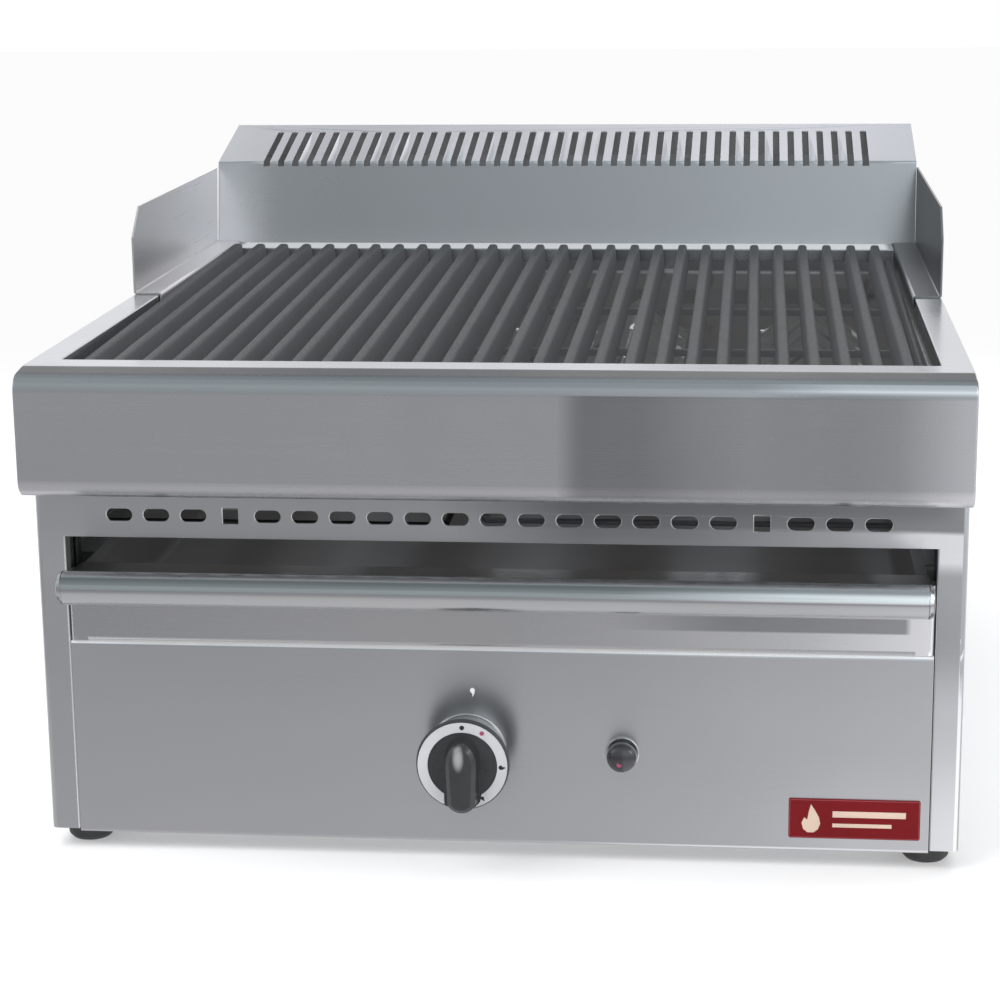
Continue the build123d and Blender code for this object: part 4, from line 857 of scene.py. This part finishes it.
def build_marks():
    raised_print("dial_marks",
                 [disc(*on_dial(0), radius=1.55),
                  flame(*on_dial(91), height=4.6, width=3.6, turn=-90),
                  flame(*on_dial(149), height=3.4, width=2.6, turn=-140)],
                 face=DIAL_FACE, proud=0.08, material="print_black", body="knob")
    raised_print("dial_ignite_dot", [disc(*on_dial(30), radius=1.5)],
                 face=DIAL_FACE, proud=0.08, material="print_red", body="knob")
    raised_print("igniter_mark", [disc(IGNITER_X - 1.3, CONTROL_Z - 2.9, radius=1.7)],
                 face=BUTTON_FACE, proud=0.12, material="print_red", body="igniter_button")
    # on the panel, above the knob
    raised_print("index_mark", [[(INDEX_X + x, INDEX_Z + z) for x, z in INDEX]],
                 face=PANEL_FACE, proud=0.12, material="print_white", body="casing")


def build_badge_art():
    """Generic flame and two plain bars in cream, and a fine rim on the plate."""
    raised_print("badge_art",
                 [flame(BADGE_X - 28.0, BADGE_Z, height=19.0, width=14.0),
                  badge_bar(-14.0, 33.0, 1.2, 5.4),
                  badge_bar(-14.0, 24.0, -5.6, -3.0)],
                 face=BADGE_FACE, proud=0.10, material="print_cream", body="casing")
    w, h, line = RIM_HALF_WIDTH, RIM_HALF_HEIGHT, RIM_LINE
    raised_print("badge_rim",
                 [badge_bar(-w, w, h - line, h),
                  badge_bar(-w, w, -h, -h + line),
                  badge_bar(-w, -w + line, -h + line, h - line),
                  badge_bar(w - line, w, -h + line, h - line)],
                 face=BADGE_FACE, proud=0.06, material="print_rim", body="casing")


build_marks()
build_badge_art()


# ------------------------------------------------------------------ stage
def floor_material():
    """Pale floor that fades to plain white far out and is missing from mirror reflections."""
    t = Surface("floor_pale")
    t.set(color=t.mix(t.remap(t.noise(3.0, detail=3.0)), 0.86, 0.90), rough=0.8, spec=0.1)
    distance = t.node("VectorMath", {0: t.coord.outputs["Object"]},
                      operation="LENGTH").outputs["Value"]
    far = t.remap(distance, span=(0.75, 1.9), to=(0.30, 1.0), smooth=True)
    white = t.node("Emission", {"Color": 1.0, "Strength": 0.97}).outputs[0]
    shown = t.mix_shader(far, t.bsdf.outputs[0], white)
    clear = t.node("BsdfTransparent").outputs[0]
    glossy = t.node("LightPath").outputs["Is Glossy Ray"]
    t.feed(t.out.inputs[0], t.mix_shader(glossy, shown, clear))
    return t.mat


def build_floor():
    bm = bmesh.new()
    bmesh.ops.create_grid(bm, x_segments=1, y_segments=1, size=9.0)
    mesh = bpy.data.meshes.new("floor")
    bm.to_mesh(mesh)
    bm.free()
    floor = add_object("floor", mesh)
    mesh.materials.append(floor_material())


AMBIENT = (0.62, 0.63, 0.65)
# (height from straight down 0 to straight up 1, colour)
FRONT_HEIGHTS = [(0.00, (0.62, 0.62, 0.64)), (0.30, (0.56, 0.56, 0.575)),
                 (0.345, (0.43, 0.43, 0.442)), (0.38, (0.312, 0.309, 0.322)),
                 (0.505, (0.312, 0.311, 0.326)), (0.525, (0.47, 0.525, 0.555)),
                 (0.62, (0.50, 0.56, 0.585)), (0.80, (0.54, 0.605, 0.63)),
                 (0.92, (0.50, 0.565, 0.59)), (1.00, (0.40, 0.46, 0.485))]
BACK_HEIGHTS = [(0.00, (0.60, 0.60, 0.62)), (0.46, (0.95, 0.95, 0.97)),
                (0.55, (1.16, 1.15, 1.18)), (0.765, (1.16, 1.15, 1.18)),
                (0.795, (0.36, 0.40, 0.43)), (1.00, (0.38, 0.44, 0.465))]
# (place from left 0 to right 1, half the gain)
FRONT_ACROSS = [(0.00, 0.50), (0.48, 0.50), (0.56, 0.68), (0.60, 0.98), (1.00, 0.98)]
BACK_ACROSS = [(0.00, 0.88), (0.24, 0.84), (0.34, 0.58), (0.46, 0.85), (0.50, 0.97),
               (0.56, 0.75), (1.00, 0.75)]
# soft boxes: (direction, degrees of full light, degrees of no light, brightness)
SOFT_BOXES = [((-0.80, -0.35, 0.50), 9.0, 15.0, 1.6), ((0.80, -0.30, 0.45), 8.0, 14.0, 3.0)]


def build_world():
    """White for the camera; reflections see a room with grey front, pale back, soft boxes."""
    world = bpy.data.worlds.new("studio")
    bpy.context.scene.world = world
    w = Graph(world, "OutputWorld")
    direction = w.coord.outputs["Generated"]
    x, y, z = w.split(direction)
    height = w.remap(z, span=(-1.0, 1.0))
    azimuth = w.remap(x, span=(-0.5, 0.5))

    def across(stops):
        return w.grey(w.times(w.split(w.ramp(azimuth, stops))[0], 2.0))

    # the pattern across the front belongs to its low part, the one across the back to its top
    front_gain = w.mix(w.remap(z, span=(0.45, 0.85), smooth=True), across(FRONT_ACROSS), 1.0)
    back_gain = w.mix(w.remap(z, span=(0.34, 0.42), smooth=True), 1.0, across(BACK_ACROSS))
    room = w.mix(w.remap(y, span=(-0.12, 0.12), smooth=True),
                 w.tone(w.ramp(height, FRONT_HEIGHTS), front_gain),
                 w.tone(w.ramp(height, BACK_HEIGHTS), back_gain))
    for towards, inner, outer, bright in SOFT_BOXES:
        facing = w.node("VectorMath", {0: direction, 1: Vector(towards).normalized()},
                        operation="DOT_PRODUCT").outputs["Value"]
        edge = (math.cos(math.radians(outer)), math.cos(math.radians(inner)))
        room = w.mix(w.remap(facing, span=edge, smooth=True), room,
                     (bright, bright, bright * 1.01))
    rays = w.node("LightPath").outputs
    seen = w.mix(rays["Is Glossy Ray"], AMBIENT, room)
    seen = w.mix(rays["Is Camera Ray"], seen, 1.0)
    background = w.node("Background", {"Color": seen, "Strength": 1.0})
    w.feed(w.out.inputs[0], background.outputs[0])


LIGHT_TARGET = Vector((0, 0, 0.2))


def area_light(name, place, size, power):
    """Square light aimed at the target and left out of reflections."""
    light = bpy.data.lights.new(name, "AREA")
    light.shape = "RECTANGLE"
    light.size = size
    light.size_y = size
    light.energy = power
    lamp = add_object(name, light)
    lamp.location = place
    lamp.rotation_mode = "QUATERNION"
    lamp.rotation_quaternion = (LIGHT_TARGET - Vector(place)).to_track_quat("-Z", "Y")
    lamp.visible_glossy = False
    lamp.visible_camera = False


build_floor()
build_world()
area_light("key", place=(-1.7, -1.5, 2.5), size=2.2, power=75)
area_light("fill", place=(2.2, -1.8, 1.5), size=1.8, power=30)
area_light("top", place=(0.1, 0.3, 2.6), size=2.6, power=55)

# ------------------------------------------------------------------ camera
CAMERA_PITCH, CAMERA_ROLL, CAMERA_YAW = 0.2356, -0.0112, 0.1035     # radians
CAMERA_PLACE = (163.2, -1493.7, 282.1)                              # mm from the apron
CAMERA_LENS = 89.29404


def build_camera():
    cos, sin = math.cos, math.sin
    a, b, c = CAMERA_PITCH, CAMERA_ROLL, CAMERA_YAW
    yaw = Matrix(((cos(c), sin(c), 0), (-sin(c), cos(c), 0), (0, 0, 1)))
    pitch = Matrix(((1, 0, 0), (0, cos(a), -sin(a)), (0, sin(a), cos(a))))
    roll = Matrix(((cos(b), 0, sin(b)), (0, 1, 0), (-sin(b), 0, cos(b))))
    right, forward, up = roll @ pitch @ yaw
    data = bpy.data.cameras.new("camera")
    data.sensor_width = 36.0
    data.lens = CAMERA_LENS
    data.clip_start = 0.05
    data.clip_end = 50.0
    camera = add_object("camera", data)
    pose = Matrix((right, up, -forward)).transposed().to_4x4()
    pose.translation = apron_point(*CAMERA_PLACE)
    camera.matrix_world = pose
    bpy.context.scene.camera = camera


build_camera()
bpy.context.scene.view_settings.view_transform = "Standard"
